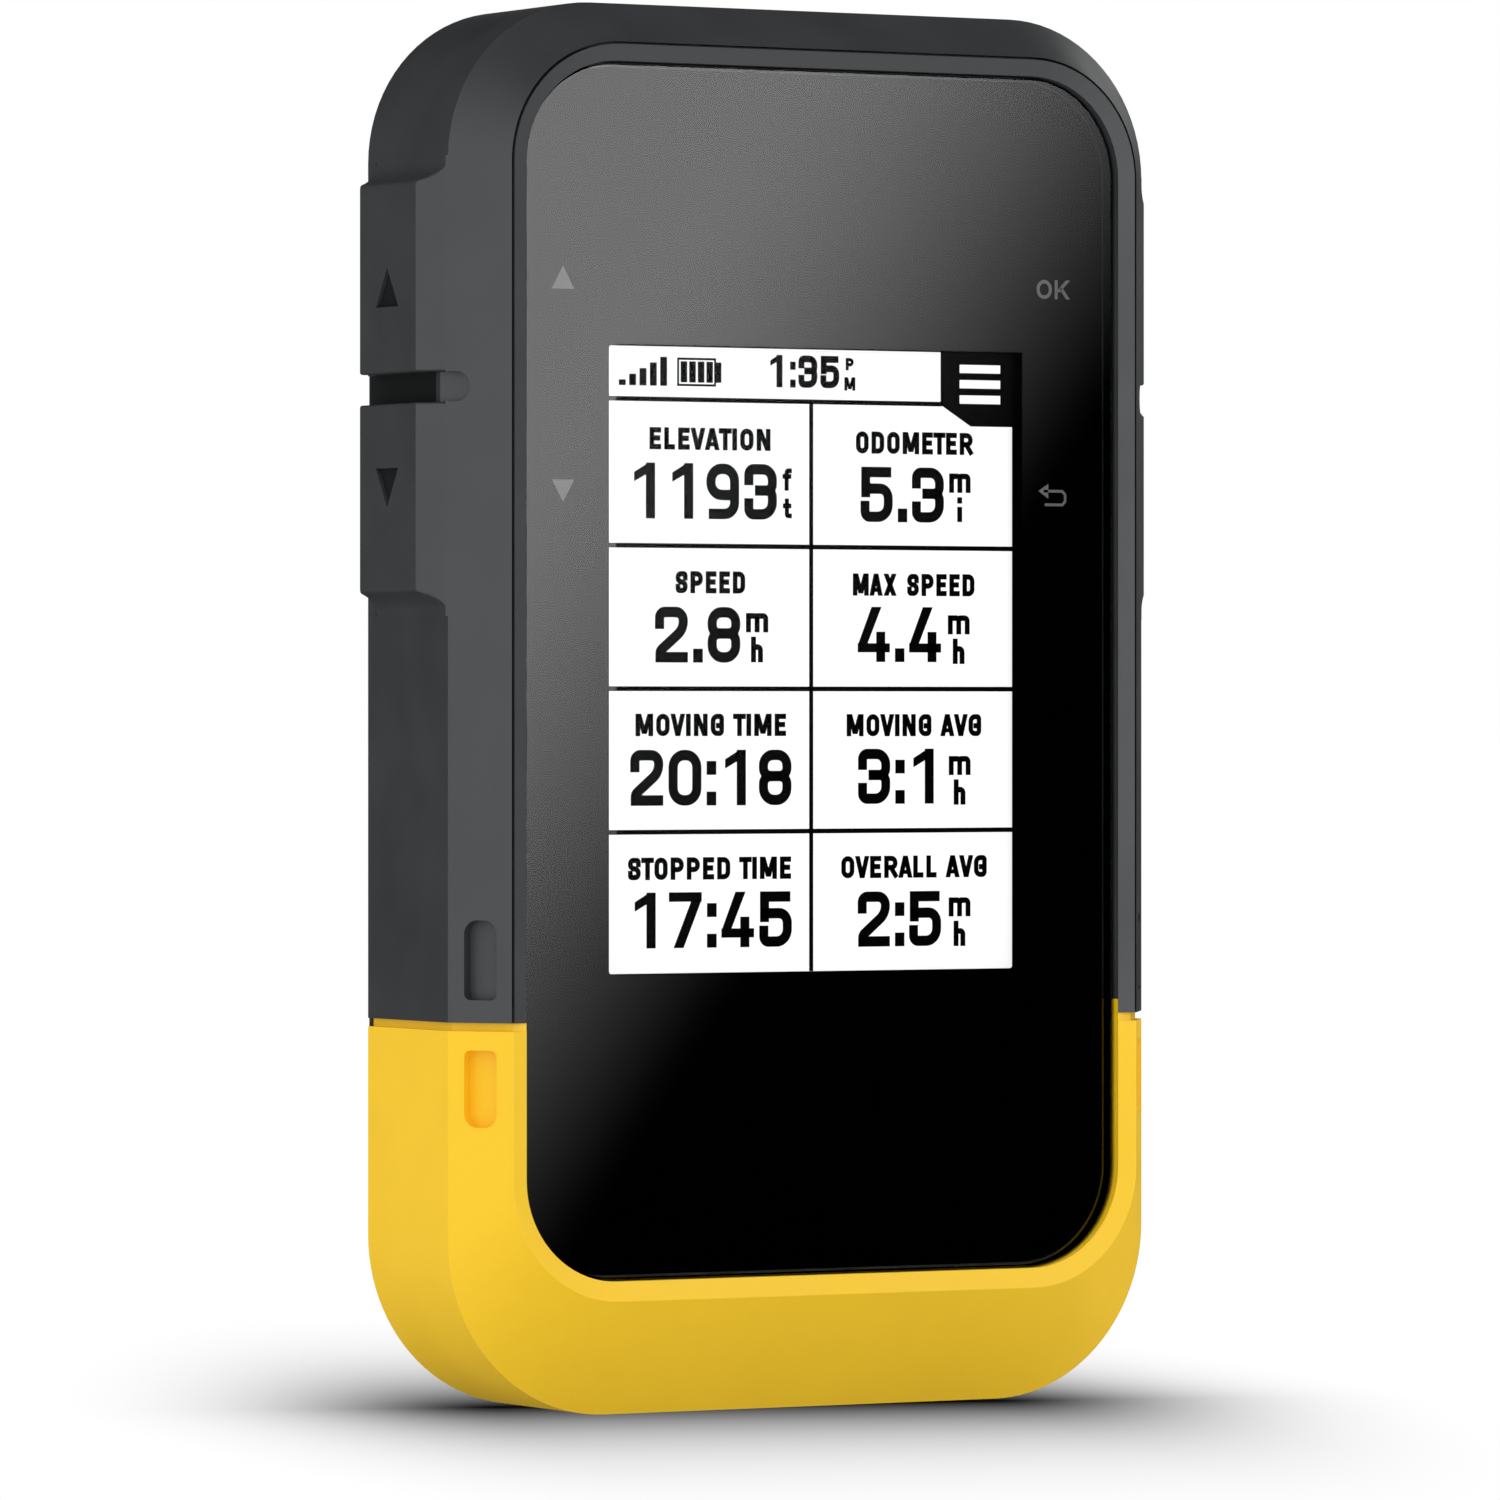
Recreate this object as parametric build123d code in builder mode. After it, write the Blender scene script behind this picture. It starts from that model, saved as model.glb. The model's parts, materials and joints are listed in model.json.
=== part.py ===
from build123d import *
from math import atan2, cos, radians, sin
import os

os.makedirs("parts", exist_ok=True)

# Handheld GPS unit, millimetres. X runs across the unit, to the right of someone facing the screen.
# Y runs from the screen to the back. Z runs up the long side. The origin is the middle of the base.

# Outer case
FRONT_Y = -15.5
BACK_Y = 13.7
SPLIT_Y = 1.1
CREASE_Y = -11.31
HALF_WIDTH = 29.1
HEIGHT = 101.6
WALL = 1.8
RIM_HALF = 26.05
RIM_LOW = 8.35
RIM_HIGH = 98.5
RIM_RADIUS = 8.7
RIM_STRIP = 1.3
RIM_DROP = 0.42
RIM_GAP = 0.12
SHELL_LOW_RADIUS = 12.7
SHELL_HIGH_RADIUS = 11.5
SHELL_REAR_RADIUS = 11.3
FACET_WIDTH = HALF_WIDTH - RIM_HALF
FACET_DEPTH = CREASE_Y - FRONT_Y
FACET_ANGLE = atan2(FACET_DEPTH, FACET_WIDTH)

# Seam between the dark housing and the coloured boot
SEAM_HIGH = 28.4
SEAM_LOW = 27.8
LIP_TOP = 29.4
LIP_INSET = 0.45

# Window stack
LENS_FRONT = -14.53
LENS_BACK = -13.33
MASK_BACK = -13.18
CARRIER_FRONT = -12.93
CARRIER_BACK = -11.4
SCREEN_CENTRE = -0.18
SCREEN_HALF = 16.93
SCREEN_LOW = 31.74
SCREEN_HIGH = 76.89

# Side keys
KEY_FACE = 30.62
KEY_LOW = 57.4
KEY_HIGH = 90.3
GROOVE_LOW = 72.72
GROOVE_HIGH = 74.87
KEY_FRONT = -11.2
KEY_REAR = -0.1
KEY_RAMP = 2.0
KEY_GAP = 0.03
KEY_FLANGE = 0.4
KEY_OVERLAP = 0.15
MARK_Y = -4.8
MARK_HALF = 1.75
MARK_HEIGHT = 2.84
MARK_DEPTH = 0.3
UP_MARK_LOW = 79.66
DOWN_MARK_LOW = 65.24

# Circuit board
BOARD_FRONT = -8.2
BOARD_BACK = -7.2
BOARD_HALF = 17.0
BOARD_LOW = 15.0
BOARD_HIGH = 95.5
BOARD_SCREWS = [(-13, 18.5), (13, 18.5), (-13, 91.5), (13, 91.5)]
CASE_SCREWS = [(-22, 11), (22, 11), (-21.5, 93), (21.5, 93)]

# Battery bay and door
BAY_HALF = 15.9
BAY_LOW = 22.0
BAY_HIGH = 78.6
BAY_FLOOR = -2.9
BAY_WALL = 1.3
CELL_RADIUS = 7.1
CELL_X = 7.6
CELL_Y = 4.6
CELL_LENGTH = 49.5
NUB_LENGTH = 1.0
DOOR_HALF = 18.0
DOOR_LOW = 6.0
DOOR_HIGH = 81.2
DOOR_INNER = 12.2
DOOR_GAP = 0.25
LATCH_Z = 13.0
DISH_RADIUS = 6.4
DISH_FLOOR = 11.6
RING_Y = 12.95

# Rear connector and its cap
PORT_Z = 86.5
CAP_HALF = 7.0
CAP_LOW = 82.9
CAP_HIGH = 91.2
CAP_INNER = 12.3
CAP_PIVOT_Y = 13.0
CAP_PIVOT_Z = 91.4


def at_depth(y):
    """Sketch plane facing the user at depth y. Sketch x is X and sketch y is Z."""
    return Plane.XZ.offset(-y)


def outline(half, low, high, low_radius, high_radius):
    """Upright rounded rectangle from -half to half and from low to high."""
    with BuildSketch(Plane.XY, mode=Mode.PRIVATE) as shape:
        with Locations((0, (low + high) / 2)):
            Rectangle(2 * half, high - low)
        fillet(shape.vertices().group_by(Axis.Y)[0], low_radius)
        fillet(shape.vertices().group_by(Axis.Y)[-1], high_radius)
    return shape.sketch


def slab(face, front, back, mode=Mode.ADD):
    """Extrudes a face from one depth to another."""
    with BuildSketch(at_depth(front)) as section:
        add(face)
    extrude(section.sketch, amount=front - back, mode=mode)


def taper(sections, mode=Mode.ADD):
    """Joins outlines at their depths by straight walls."""
    faces = []
    for depth, face in sections:
        with BuildSketch(at_depth(depth)) as section:
            add(face)
        faces.append(section.sketch.faces()[0])
    loft(faces, ruled=True, mode=mode)


def disc(x, z, radius, front, back, mode=Mode.ADD):
    """Round column along Y."""
    with BuildSketch(at_depth(front)) as section:
        with Locations((x, z)):
            Circle(radius)
    extrude(section.sketch, amount=front - back, mode=mode)


def block(x0, x1, y0, y1, z0, z1, mode=Mode.ADD):
    """Box between two corners."""
    with Locations(((x0 + x1) / 2, (y0 + y1) / 2, (z0 + z1) / 2)):
        Box(x1 - x0, y1 - y0, z1 - z0, mode=mode)


def save(piece, name):
    """Labels a piece and writes it."""
    piece.part.label = name
    export_step(piece.part, f"parts/{name}.step")


rim_outer = outline(RIM_HALF, RIM_LOW, RIM_HIGH, RIM_RADIUS, RIM_RADIUS)
rim_inner = outline(
    RIM_HALF - RIM_STRIP,
    RIM_LOW + RIM_STRIP + 0.12,
    RIM_HIGH - RIM_STRIP,
    RIM_RADIUS - RIM_STRIP,
    RIM_RADIUS - RIM_STRIP,
)
shell_outer = outline(HALF_WIDTH, 0, HEIGHT, SHELL_LOW_RADIUS, SHELL_HIGH_RADIUS)
shell_rear = outline(HALF_WIDTH, 0, HEIGHT, SHELL_LOW_RADIUS, SHELL_REAR_RADIUS)
shell_inner = outline(
    HALF_WIDTH - WALL,
    WALL,
    HEIGHT - WALL,
    SHELL_LOW_RADIUS - WALL,
    SHELL_HIGH_RADIUS - WALL,
)

# ---- Shared volumes of the front case -------------------------------------------------------
# Outside: a sloping facet all round, then a band back to the split, where its upper corners are squarer.
with BuildPart() as front_volume:
    taper([(FRONT_Y, rim_outer), (CREASE_Y, shell_outer)])
    taper([(CREASE_Y, shell_outer), (SPLIT_Y, shell_rear)])

# The lip that bridges the seam, set in from the outside by LIP_INSET.
lip_front = outline(
    RIM_HALF - 0.23, RIM_LOW + 0.5, RIM_HIGH - 0.23, RIM_RADIUS, RIM_RADIUS
)
lip_shell = outline(
    HALF_WIDTH - LIP_INSET,
    LIP_INSET,
    HEIGHT - LIP_INSET,
    SHELL_LOW_RADIUS - LIP_INSET,
    SHELL_HIGH_RADIUS - LIP_INSET,
)
with BuildPart() as lip_volume:
    taper([(FRONT_Y + LIP_INSET, lip_front), (CREASE_Y + 0.15, lip_shell)])
    slab(lip_shell, CREASE_Y + 0.15, SPLIT_Y)
    split(bisect_by=Plane.XY.offset(LIP_TOP), keep=Keep.BOTTOM)

# Blind pockets and the groove between the keys, cut into the sloping facet on both sides.
facet_normal = (sin(FACET_ANGLE), -cos(FACET_ANGLE), 0)
facet_along = (cos(FACET_ANGLE), sin(FACET_ANGLE), 0)


def facet_plane(share, z):
    """Plane on the right facet. share runs from 0 at the rim to 1 at the side."""
    origin = (RIM_HALF + share * FACET_WIDTH, FRONT_Y + share * FACET_DEPTH, z)
    return Plane(origin=origin, x_dir=facet_along, z_dir=facet_normal)


POCKET_WIDTH = 2.57
POCKET_DEPTH = 1.0
POCKET_SHARE = 0.505
GROOVE_DEPTH = 0.7
GROOVE_FLOOR = 28.94
GROOVE_TIP_SHARE = 0.66


def pocket(low, high, low_radius, high_radius):
    """Pocket cutter on the right facet."""
    with BuildPart() as cutter:
        with BuildSketch(facet_plane(POCKET_SHARE, (low + high) / 2)) as mouth:
            Rectangle(POCKET_WIDTH, high - low)
            fillet(mouth.vertices().group_by(Axis.Y)[0], low_radius)
            fillet(mouth.vertices().group_by(Axis.Y)[-1], high_radius)
        extrude(amount=-POCKET_DEPTH)
        extrude(mouth.sketch, amount=0.5)
    return cutter.part


dark_pocket = pocket(30.03, 35.72, 0.45, 1.0)
boot_pocket = pocket(20.93, 26.44, 1.0, 0.45)

with BuildPart() as groove:
    groove_middle = (GROOVE_LOW + GROOVE_HIGH) / 2
    groove_width = GROOVE_HIGH - GROOVE_LOW
    with BuildSketch(facet_plane(GROOVE_TIP_SHARE, groove_middle)):
        with Locations((groove_width / 2, 0)):
            Circle(groove_width / 2)
        with Locations((groove_width / 2 + 2, 0)):
            Rectangle(4, groove_width)
    extrude(amount=-GROOVE_DEPTH)
    extrude(faces().sort_by(Axis((0, 0, 0), facet_normal))[-1], amount=2.5)
    block(GROOVE_FLOOR, KEY_FACE + 2, -9.5, SPLIT_Y, GROOVE_LOW, GROOVE_HIGH)
    block(GROOVE_FLOOR - 2, GROOVE_FLOOR, -10.0, -8.0, GROOVE_LOW, GROOVE_HIGH, Mode.SUBTRACT)

# The rim's front face slopes inward to the lens by RIM_DROP.
with BuildPart() as rim_dish:
    taper([(FRONT_Y - 0.02, rim_outer), (FRONT_Y + RIM_DROP, rim_inner)])

# ---- Front lens, its printed border and its gasket ------------------------------------------
with BuildPart() as front_lens:
    slab(outline(24.57, 9.94, 97.0, 7.2, 7.2), LENS_FRONT, LENS_BACK)
    chamfer(front_lens.faces().sort_by(Axis.Y)[0].edges(), 0.05)
save(front_lens, "front_lens")

with BuildPart() as lens_mask:
    slab(outline(24.4, 10.15, 96.85, 7.0, 7.0), LENS_BACK, MASK_BACK)
    opening = Pos(SCREEN_CENTRE, 0) * outline(SCREEN_HALF, SCREEN_LOW, SCREEN_HIGH, 0.2, 0.2)
    slab(opening, LENS_BACK, MASK_BACK, Mode.SUBTRACT)
save(lens_mask, "lens_mask")

with BuildPart() as lens_gasket:
    slab(outline(24.4, 10.15, 96.85, 7.0, 7.0), MASK_BACK, CARRIER_FRONT)
    slab(outline(22.9, 11.6, 95.4, 5.6, 5.6), MASK_BACK, CARRIER_FRONT, Mode.SUBTRACT)
save(lens_gasket, "lens_gasket")

# ---- Front carrier: holds the lens, frames the screen and shows as the dark rim -------------
carrier_rim = outline(
    RIM_HALF - RIM_GAP,
    RIM_LOW + RIM_GAP,
    RIM_HIGH - RIM_GAP,
    RIM_RADIUS - RIM_GAP,
    RIM_RADIUS - RIM_GAP,
)
with BuildPart() as front_carrier:
    slab(carrier_rim, FRONT_Y, -14.3)
    slab(outline(25.4, RIM_LOW + 0.65, RIM_HIGH - 0.65, 8.05, 8.05), -14.3, CARRIER_BACK)
    slab(rim_inner, FRONT_Y, CARRIER_FRONT, Mode.SUBTRACT)
    add(rim_dish.part, mode=Mode.SUBTRACT)
    add(lip_volume.part, mode=Mode.SUBTRACT)
    split(bisect_by=Plane.XY.offset(SEAM_HIGH), keep=Keep.TOP)
    slab(outline(24.6, 9.95, 97.0, 7.2, 7.2), CARRIER_FRONT, CARRIER_BACK)
    slab(outline(19.6, 27.4, 80.4, 0.8, 0.8), CARRIER_FRONT, CARRIER_BACK, Mode.SUBTRACT)
    block(-9, 9, CARRIER_FRONT, CARRIER_BACK, 22.9, 27.5, Mode.SUBTRACT)
    for x, z in BOARD_SCREWS:
        disc(x, z, 2.2, CARRIER_BACK, BOARD_FRONT)
        disc(x, z, 0.8, CARRIER_BACK + 0.1, BOARD_FRONT, Mode.SUBTRACT)
save(front_carrier, "front_carrier")

# Groove in the rear face of the front case for the case seal.
with BuildPart() as seal_groove:
    slab(outline(28.55, 0.55, 101.05, 12.15, 10.95), 0.5, SPLIT_Y)
    slab(outline(27.75, 1.35, 100.25, 11.35, 10.15), 0.5, SPLIT_Y, Mode.SUBTRACT)

# ---- Upper housing: dark facet and side band, with the key openings -------------------------
with BuildPart() as upper_housing:
    add(front_volume.part)
    slab(outline(26.12, RIM_LOW - 0.07, RIM_HIGH + 0.07, 8.77, 8.77), FRONT_Y, -14.25, Mode.SUBTRACT)
    slab(outline(25.45, 8.95, 97.9, 8.1, 8.1), -14.25, -11.0, Mode.SUBTRACT)
    slab(shell_inner, -11.0, SPLIT_Y, Mode.SUBTRACT)
    add(seal_groove.part, mode=Mode.SUBTRACT)
    add(lip_volume.part, mode=Mode.SUBTRACT)
    split(bisect_by=Plane.XY.offset(SEAM_HIGH), keep=Keep.TOP)
    for x, z in CASE_SCREWS[2:]:
        disc(x, z, 2.6, -9.0, SPLIT_Y)
        block(x - 0.6, x + 0.6, -9.0, 0, z, HEIGHT - 2.2)
        disc(x, z, 1.0, -6.0, SPLIT_Y, Mode.SUBTRACT)
    add(dark_pocket, mode=Mode.SUBTRACT)
    add(dark_pocket.mirror(Plane.YZ), mode=Mode.SUBTRACT)
    add(groove.part, mode=Mode.SUBTRACT)
    add(groove.part.mirror(Plane.YZ), mode=Mode.SUBTRACT)
    for side in (-1, 1):
        inner, outer = sorted((side * 26, side * 32))
        block(inner, outer, KEY_FRONT, KEY_REAR, KEY_LOW, GROOVE_LOW, Mode.SUBTRACT)
        block(inner, outer, KEY_FRONT, KEY_REAR, GROOVE_HIGH, KEY_HIGH, Mode.SUBTRACT)
save(upper_housing, "upper_housing")

# ---- Lower boot: coloured foot with its own rim and the lip under the seam ------------------
with BuildPart() as lower_boot:
    add(front_volume.part)
    split(bisect_by=Plane.XY.offset(SEAM_LOW), keep=Keep.BOTTOM)
    add(lip_volume.part)
    slab(rim_inner, FRONT_Y, -11.0, Mode.SUBTRACT)
    add(rim_dish.part, mode=Mode.SUBTRACT)
    slab(shell_inner, -11.0, SPLIT_Y, Mode.SUBTRACT)
    add(seal_groove.part, mode=Mode.SUBTRACT)
    for x, z in CASE_SCREWS[:2]:
        disc(x, z, 2.6, -9.0, SPLIT_Y)
        block(x - 0.6, x + 0.6, -9.0, 0, 2.6, z)
        wall_x, boss_x = sorted((x / abs(x) * (HALF_WIDTH - 1), x))
        block(wall_x, boss_x, -9.0, 0, z - 0.6, z + 0.6)
        disc(x, z, 1.0, -6.0, SPLIT_Y, Mode.SUBTRACT)
    add(boot_pocket, mode=Mode.SUBTRACT)
    add(boot_pocket.mirror(Plane.YZ), mode=Mode.SUBTRACT)
save(lower_boot, "lower_boot")

# ---- Case seal between the front case and the rear housing ----------------------------------
with BuildPart() as case_seal:
    slab(outline(28.5, 0.6, 101.0, 12.1, 10.9), 0.55, 1.2)
    slab(outline(27.8, 1.3, 100.3, 11.4, 10.2), 0.55, 1.2, Mode.SUBTRACT)
save(case_seal, "case_seal")

# ---- Side keys ------------------------------------------------------------------------------
KEY_BODY_INNER = 27.4
FLANGE_OUTER = 27.15
MEMBRANE_OUTER = 27.26
key_plan = [
    (KEY_BODY_INNER, KEY_FRONT + KEY_GAP),
    (HALF_WIDTH + (KEY_FRONT + KEY_GAP - CREASE_Y) / 1.374, KEY_FRONT + KEY_GAP),
    (KEY_FACE, CREASE_Y + (KEY_FACE - HALF_WIDTH) * 1.374),
    (KEY_FACE, -0.55),
    (KEY_FACE - 0.2, -0.3),
    (HALF_WIDTH + 0.1, KEY_REAR - KEY_GAP),
    (KEY_BODY_INNER, KEY_REAR - KEY_GAP),
]

# Sunk marks on the keys' faces. Sketch x is Y and sketch y is Z.
with BuildSketch() as up_mark:
    with BuildLine():
        Polyline(
            (MARK_Y - MARK_HALF, UP_MARK_LOW),
            (MARK_Y + MARK_HALF, UP_MARK_LOW),
            (MARK_Y, UP_MARK_LOW + MARK_HEIGHT),
            close=True,
        )
    make_face()
with BuildSketch() as down_mark:
    with BuildLine():
        Polyline(
            (MARK_Y - MARK_HALF, DOWN_MARK_LOW + MARK_HEIGHT),
            (MARK_Y, DOWN_MARK_LOW),
            (MARK_Y + MARK_HALF, DOWN_MARK_LOW + MARK_HEIGHT),
            close=True,
        )
    make_face()
with BuildSketch() as ok_mark:
    with Locations((MARK_Y, UP_MARK_LOW + MARK_HEIGHT / 2)):
        Circle(MARK_HEIGHT / 2)
        Circle(MARK_HEIGHT / 2 - 0.55, mode=Mode.SUBTRACT)
with BuildSketch() as back_mark:
    with BuildLine():
        Polyline(
            (MARK_Y - MARK_HEIGHT / 2, DOWN_MARK_LOW + MARK_HEIGHT / 2),
            (MARK_Y + MARK_HEIGHT / 2, DOWN_MARK_LOW + MARK_HEIGHT / 2 - MARK_HALF),
            (MARK_Y + MARK_HEIGHT / 2, DOWN_MARK_LOW + MARK_HEIGHT / 2 + MARK_HALF),
            close=True,
        )
    make_face()


def side_key(side, ramp_low, mark):
    """One key, lower or upper half of the raised bar, with its mark and its flange inside the wall."""
    low = KEY_LOW + KEY_GAP if ramp_low else GROOVE_HIGH + KEY_GAP
    high = GROOVE_LOW - KEY_GAP if ramp_low else KEY_HIGH - KEY_GAP
    foot, crest = (low, low + KEY_RAMP) if ramp_low else (high, high - KEY_RAMP)
    square = high if ramp_low else low
    run = 1 if ramp_low else -1
    with BuildPart() as key:
        with BuildSketch(Plane.XY.offset(low)):
            with BuildLine():
                Polyline(*key_plan, close=True)
            make_face()
        extrude(amount=high - low)
        with BuildSketch(at_depth(-12)):
            with BuildLine():
                Line((26, foot), (HALF_WIDTH, foot))
                Spline(
                    (HALF_WIDTH, foot),
                    (HALF_WIDTH + 0.2, foot + run * 0.42 * KEY_RAMP),
                    (HALF_WIDTH + 1.2, foot + run * 0.8 * KEY_RAMP),
                    (KEY_FACE, crest),
                    tangents=[(0, run), (0, run)],
                )
                Line((KEY_FACE, crest), (KEY_FACE, square))
                Line((KEY_FACE, square), (26, square))
                Line((26, square), (26, foot))
            make_face()
        extrude(amount=-14, mode=Mode.INTERSECT)
        fillet(key.edges().filter_by_position(Axis.X, HALF_WIDTH + 0.6, KEY_FACE + 1), 0.18)
        with BuildSketch(Plane.YZ.offset(KEY_FACE)) as sunk:
            add(mark.sketch)
        extrude(sunk.sketch, amount=-MARK_DEPTH, mode=Mode.SUBTRACT)
        flange_inner = FLANGE_OUTER - KEY_FLANGE
        block(flange_inner, FLANGE_OUTER, -10.3, 0.25, low - KEY_OVERLAP, high + KEY_OVERLAP)
        block(FLANGE_OUTER, KEY_BODY_INNER, -10.2, -0.5, low, high)
        if side < 0:
            mirror(about=Plane.YZ, mode=Mode.REPLACE)
    return key


save(side_key(-1, False, up_mark), "up_key")
save(side_key(-1, True, down_mark), "down_key")
save(side_key(1, False, ok_mark), "ok_key")
save(side_key(1, True, back_mark), "back_key")


def key_web(side):
    """Soft membrane behind two keys, with a rim that seals on the housing wall."""
    with BuildPart() as web:
        block(25.1, MEMBRANE_OUTER, -10.98, 0.9, 56.7, 90.9)
        block(26.1, MEMBRANE_OUTER, -10.45, 0.4, 57.1, 90.57, Mode.SUBTRACT)
        block(26.5, MEMBRANE_OUTER, -10.98, -10.45, 57.1, 90.57, Mode.SUBTRACT)
        block(25.1, 25.6, -10.45, 0.4, 57.1, 90.57, Mode.SUBTRACT)
        if side < 0:
            mirror(about=Plane.YZ, mode=Mode.REPLACE)
    return web


def key_board(side):
    """Small upright circuit board behind a membrane, with its tail to the main board."""
    with BuildPart() as board:
        block(24.3, 25.1, -10.6, 0.6, 57.6, 89.4)
        block(16.6, 24.3, BOARD_BACK, BOARD_BACK + 0.25, 70, 77)
        if side < 0:
            mirror(about=Plane.YZ, mode=Mode.REPLACE)
    return board


save(key_web(-1), "left_key_membrane")
save(key_web(1), "right_key_membrane")
save(key_board(-1), "left_key_board")
save(key_board(1), "right_key_board")

with BuildPart() as key_domes:
    for side in (-1, 1):
        for z in (66, 81.5):
            with BuildSketch(Plane.YZ.offset(side * 25.1)) as base:
                with Locations((-5.3, z)):
                    Circle(2.4)
            extrude(base.sketch, amount=side * 0.35, taper=35)
save(key_domes, "key_domes")

# ---- Screen ---------------------------------------------------------------------------------
with BuildPart() as lcd_glass:
    block(-18.6, 18.6, -12.9, -11.3, 28.6, 79.3)
save(lcd_glass, "lcd_glass")

with BuildPart() as lcd_tray:
    block(-19.3, 19.3, -11.3, BOARD_FRONT, 27.8, 80.0)
    block(-18.2, 18.2, -11.3, -9.2, 29.0, 78.8, Mode.SUBTRACT)
save(lcd_tray, "lcd_tray")

with BuildPart() as light_guide:
    block(-17.9, 17.9, -11.2, -9.3, 29.3, 78.5)
save(light_guide, "light_guide")

with BuildPart() as lcd_flex:
    block(-8, 8, -12.0, -11.8, 23.5, 28.6)
    block(-8, 8, -12.0, -8.4, 23.3, 23.5)
    block(-8, 8, -8.4, BOARD_FRONT, 21.0, 23.5)
save(lcd_flex, "lcd_flex")

# ---- Main board and what it carries ---------------------------------------------------------
with BuildPart() as main_board:
    slab(outline(BOARD_HALF, BOARD_LOW, BOARD_HIGH, 2, 2), BOARD_FRONT, BOARD_BACK)
    for x, z in BOARD_SCREWS:
        disc(x, z, 0.95, BOARD_FRONT, BOARD_BACK, Mode.SUBTRACT)
save(main_board, "main_board")

with BuildPart() as processor_shield:
    block(-14, 3, BOARD_BACK, -5.0, 46, 66)
    block(-13.7, 2.7, BOARD_BACK, -5.3, 46.3, 65.7, Mode.SUBTRACT)
save(processor_shield, "processor_shield")

with BuildPart() as receiver_shield:
    block(-14, 0, BOARD_BACK, -5.2, 67.5, 78.5)
    block(-13.7, -0.3, BOARD_BACK, -5.5, 67.8, 78.2, Mode.SUBTRACT)
save(receiver_shield, "receiver_shield")

with BuildPart() as memory_chips:
    block(5, 14, BOARD_BACK, -6.2, 52, 63)
    block(5, 12, BOARD_BACK, -6.3, 40, 47)
save(memory_chips, "memory_chips")

with BuildPart() as patch_antenna:
    block(-10.5, 4.5, BOARD_BACK, -3.2, 80.2, 95.2)
    chamfer(patch_antenna.edges().filter_by(Axis.Y), 0.6)
save(patch_antenna, "patch_antenna")

with BuildPart() as beeper:
    disc(10.2, 84.3, 4.2, BOARD_BACK, -4.7)
    disc(10.2, 84.3, 0.7, -5.4, -4.7, Mode.SUBTRACT)
save(beeper, "beeper")

with BuildPart() as backup_cell:
    disc(9.5, 30, 3.4, BOARD_BACK, -5.1)
    fillet(backup_cell.edges().group_by(Axis.Y)[-1], 0.3)
save(backup_cell, "backup_cell")

with BuildPart() as board_screws:
    for x, z in BOARD_SCREWS:
        disc(x, z, 1.5, BOARD_BACK, -6.3)
        disc(x, z, 0.78, -11.0, BOARD_BACK)
        disc(x, z, 0.5, -6.8, -6.3, Mode.SUBTRACT)
save(board_screws, "board_screws")

# ---- Rear housing with the battery bay, latch boss and connector recess ---------------------
with BuildPart() as rear_volume:
    taper(
        [
            (1.2, outline(28.95, 0, 101.45, 12.6, 11.2)),
            (8.2, outline(22.2, 0, 97.2, 9, 8.5)),
        ]
    )
    taper(
        [
            (8.2, outline(22.2, 0, 97.2, 9, 8.5)),
            (BACK_Y, outline(20.6, 3.5, 94.5, 7.5, 7.5)),
        ]
    )
    fillet(rear_volume.faces().sort_by(Axis.Y)[-1].edges(), 1.2)

with BuildPart() as rear_bosses:
    for x, z in CASE_SCREWS:
        disc(x, z, 3.3, 1.2, BACK_Y)
    add(rear_volume.part, mode=Mode.INTERSECT)

with BuildPart() as rear_housing:
    add(rear_volume.part)
    taper(
        [
            (1.2, outline(27.0, 1.8, 99.5, 10.9, 9.7)),
            (7.4, outline(20.9, 1.8, 95.6, 7.6, 7.4)),
        ],
        Mode.SUBTRACT,
    )
    slab(outline(19.4, 4.6, 93.2, 6.4, 6.4), 7.4, 10.3, Mode.SUBTRACT)
    block(
        -BAY_HALF - BAY_WALL,
        BAY_HALF + BAY_WALL,
        BAY_FLOOR - BAY_WALL,
        BACK_Y - 1.5,
        BAY_LOW - BAY_WALL,
        BAY_HIGH + BAY_WALL,
    )
    disc(0, LATCH_Z, 4.2, 3.2, 10.5)
    disc(0, LATCH_Z, 8.6, 8.3, 10.5)
    add(rear_bosses.part)
    door_seat = outline(DOOR_HALF + DOOR_GAP, DOOR_LOW - DOOR_GAP, DOOR_HIGH + DOOR_GAP, 4.75, 4.75)
    slab(door_seat, DOOR_INNER - DOOR_GAP, BACK_Y + 1, Mode.SUBTRACT)
    block(-BAY_HALF, BAY_HALF, BAY_FLOOR, BACK_Y + 1, BAY_LOW, BAY_HIGH, Mode.SUBTRACT)
    disc(0, LATCH_Z, 7.5, 10.05, BACK_Y, Mode.SUBTRACT)
    disc(0, LATCH_Z, 3.0, 9.3, 10.05, Mode.SUBTRACT)
    disc(0, LATCH_Z, 2.6, 4.0, 9.3, Mode.SUBTRACT)
    for x, z in CASE_SCREWS:
        disc(x, z, 2.2, 4.0, BACK_Y + 1, Mode.SUBTRACT)
        disc(x, z, 1.1, 1.0, 4.0, Mode.SUBTRACT)
    cap_seat = outline(CAP_HALF + 0.25, CAP_LOW - 0.25, CAP_PIVOT_Z + 0.95, 1.5, 0.6)
    slab(cap_seat, CAP_INNER - 0.2, BACK_Y + 1, Mode.SUBTRACT)
    block(-5.0, 5.0, 8, BACK_Y, 83.7, 89.1, Mode.SUBTRACT)
save(rear_housing, "rear_housing")

with BuildPart() as latch_insert:
    disc(0, LATCH_Z, 2.58, 4.05, 9.2)
    disc(0, LATCH_Z, 1.6, 4.05, 9.2, Mode.SUBTRACT)
save(latch_insert, "latch_insert")

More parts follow.
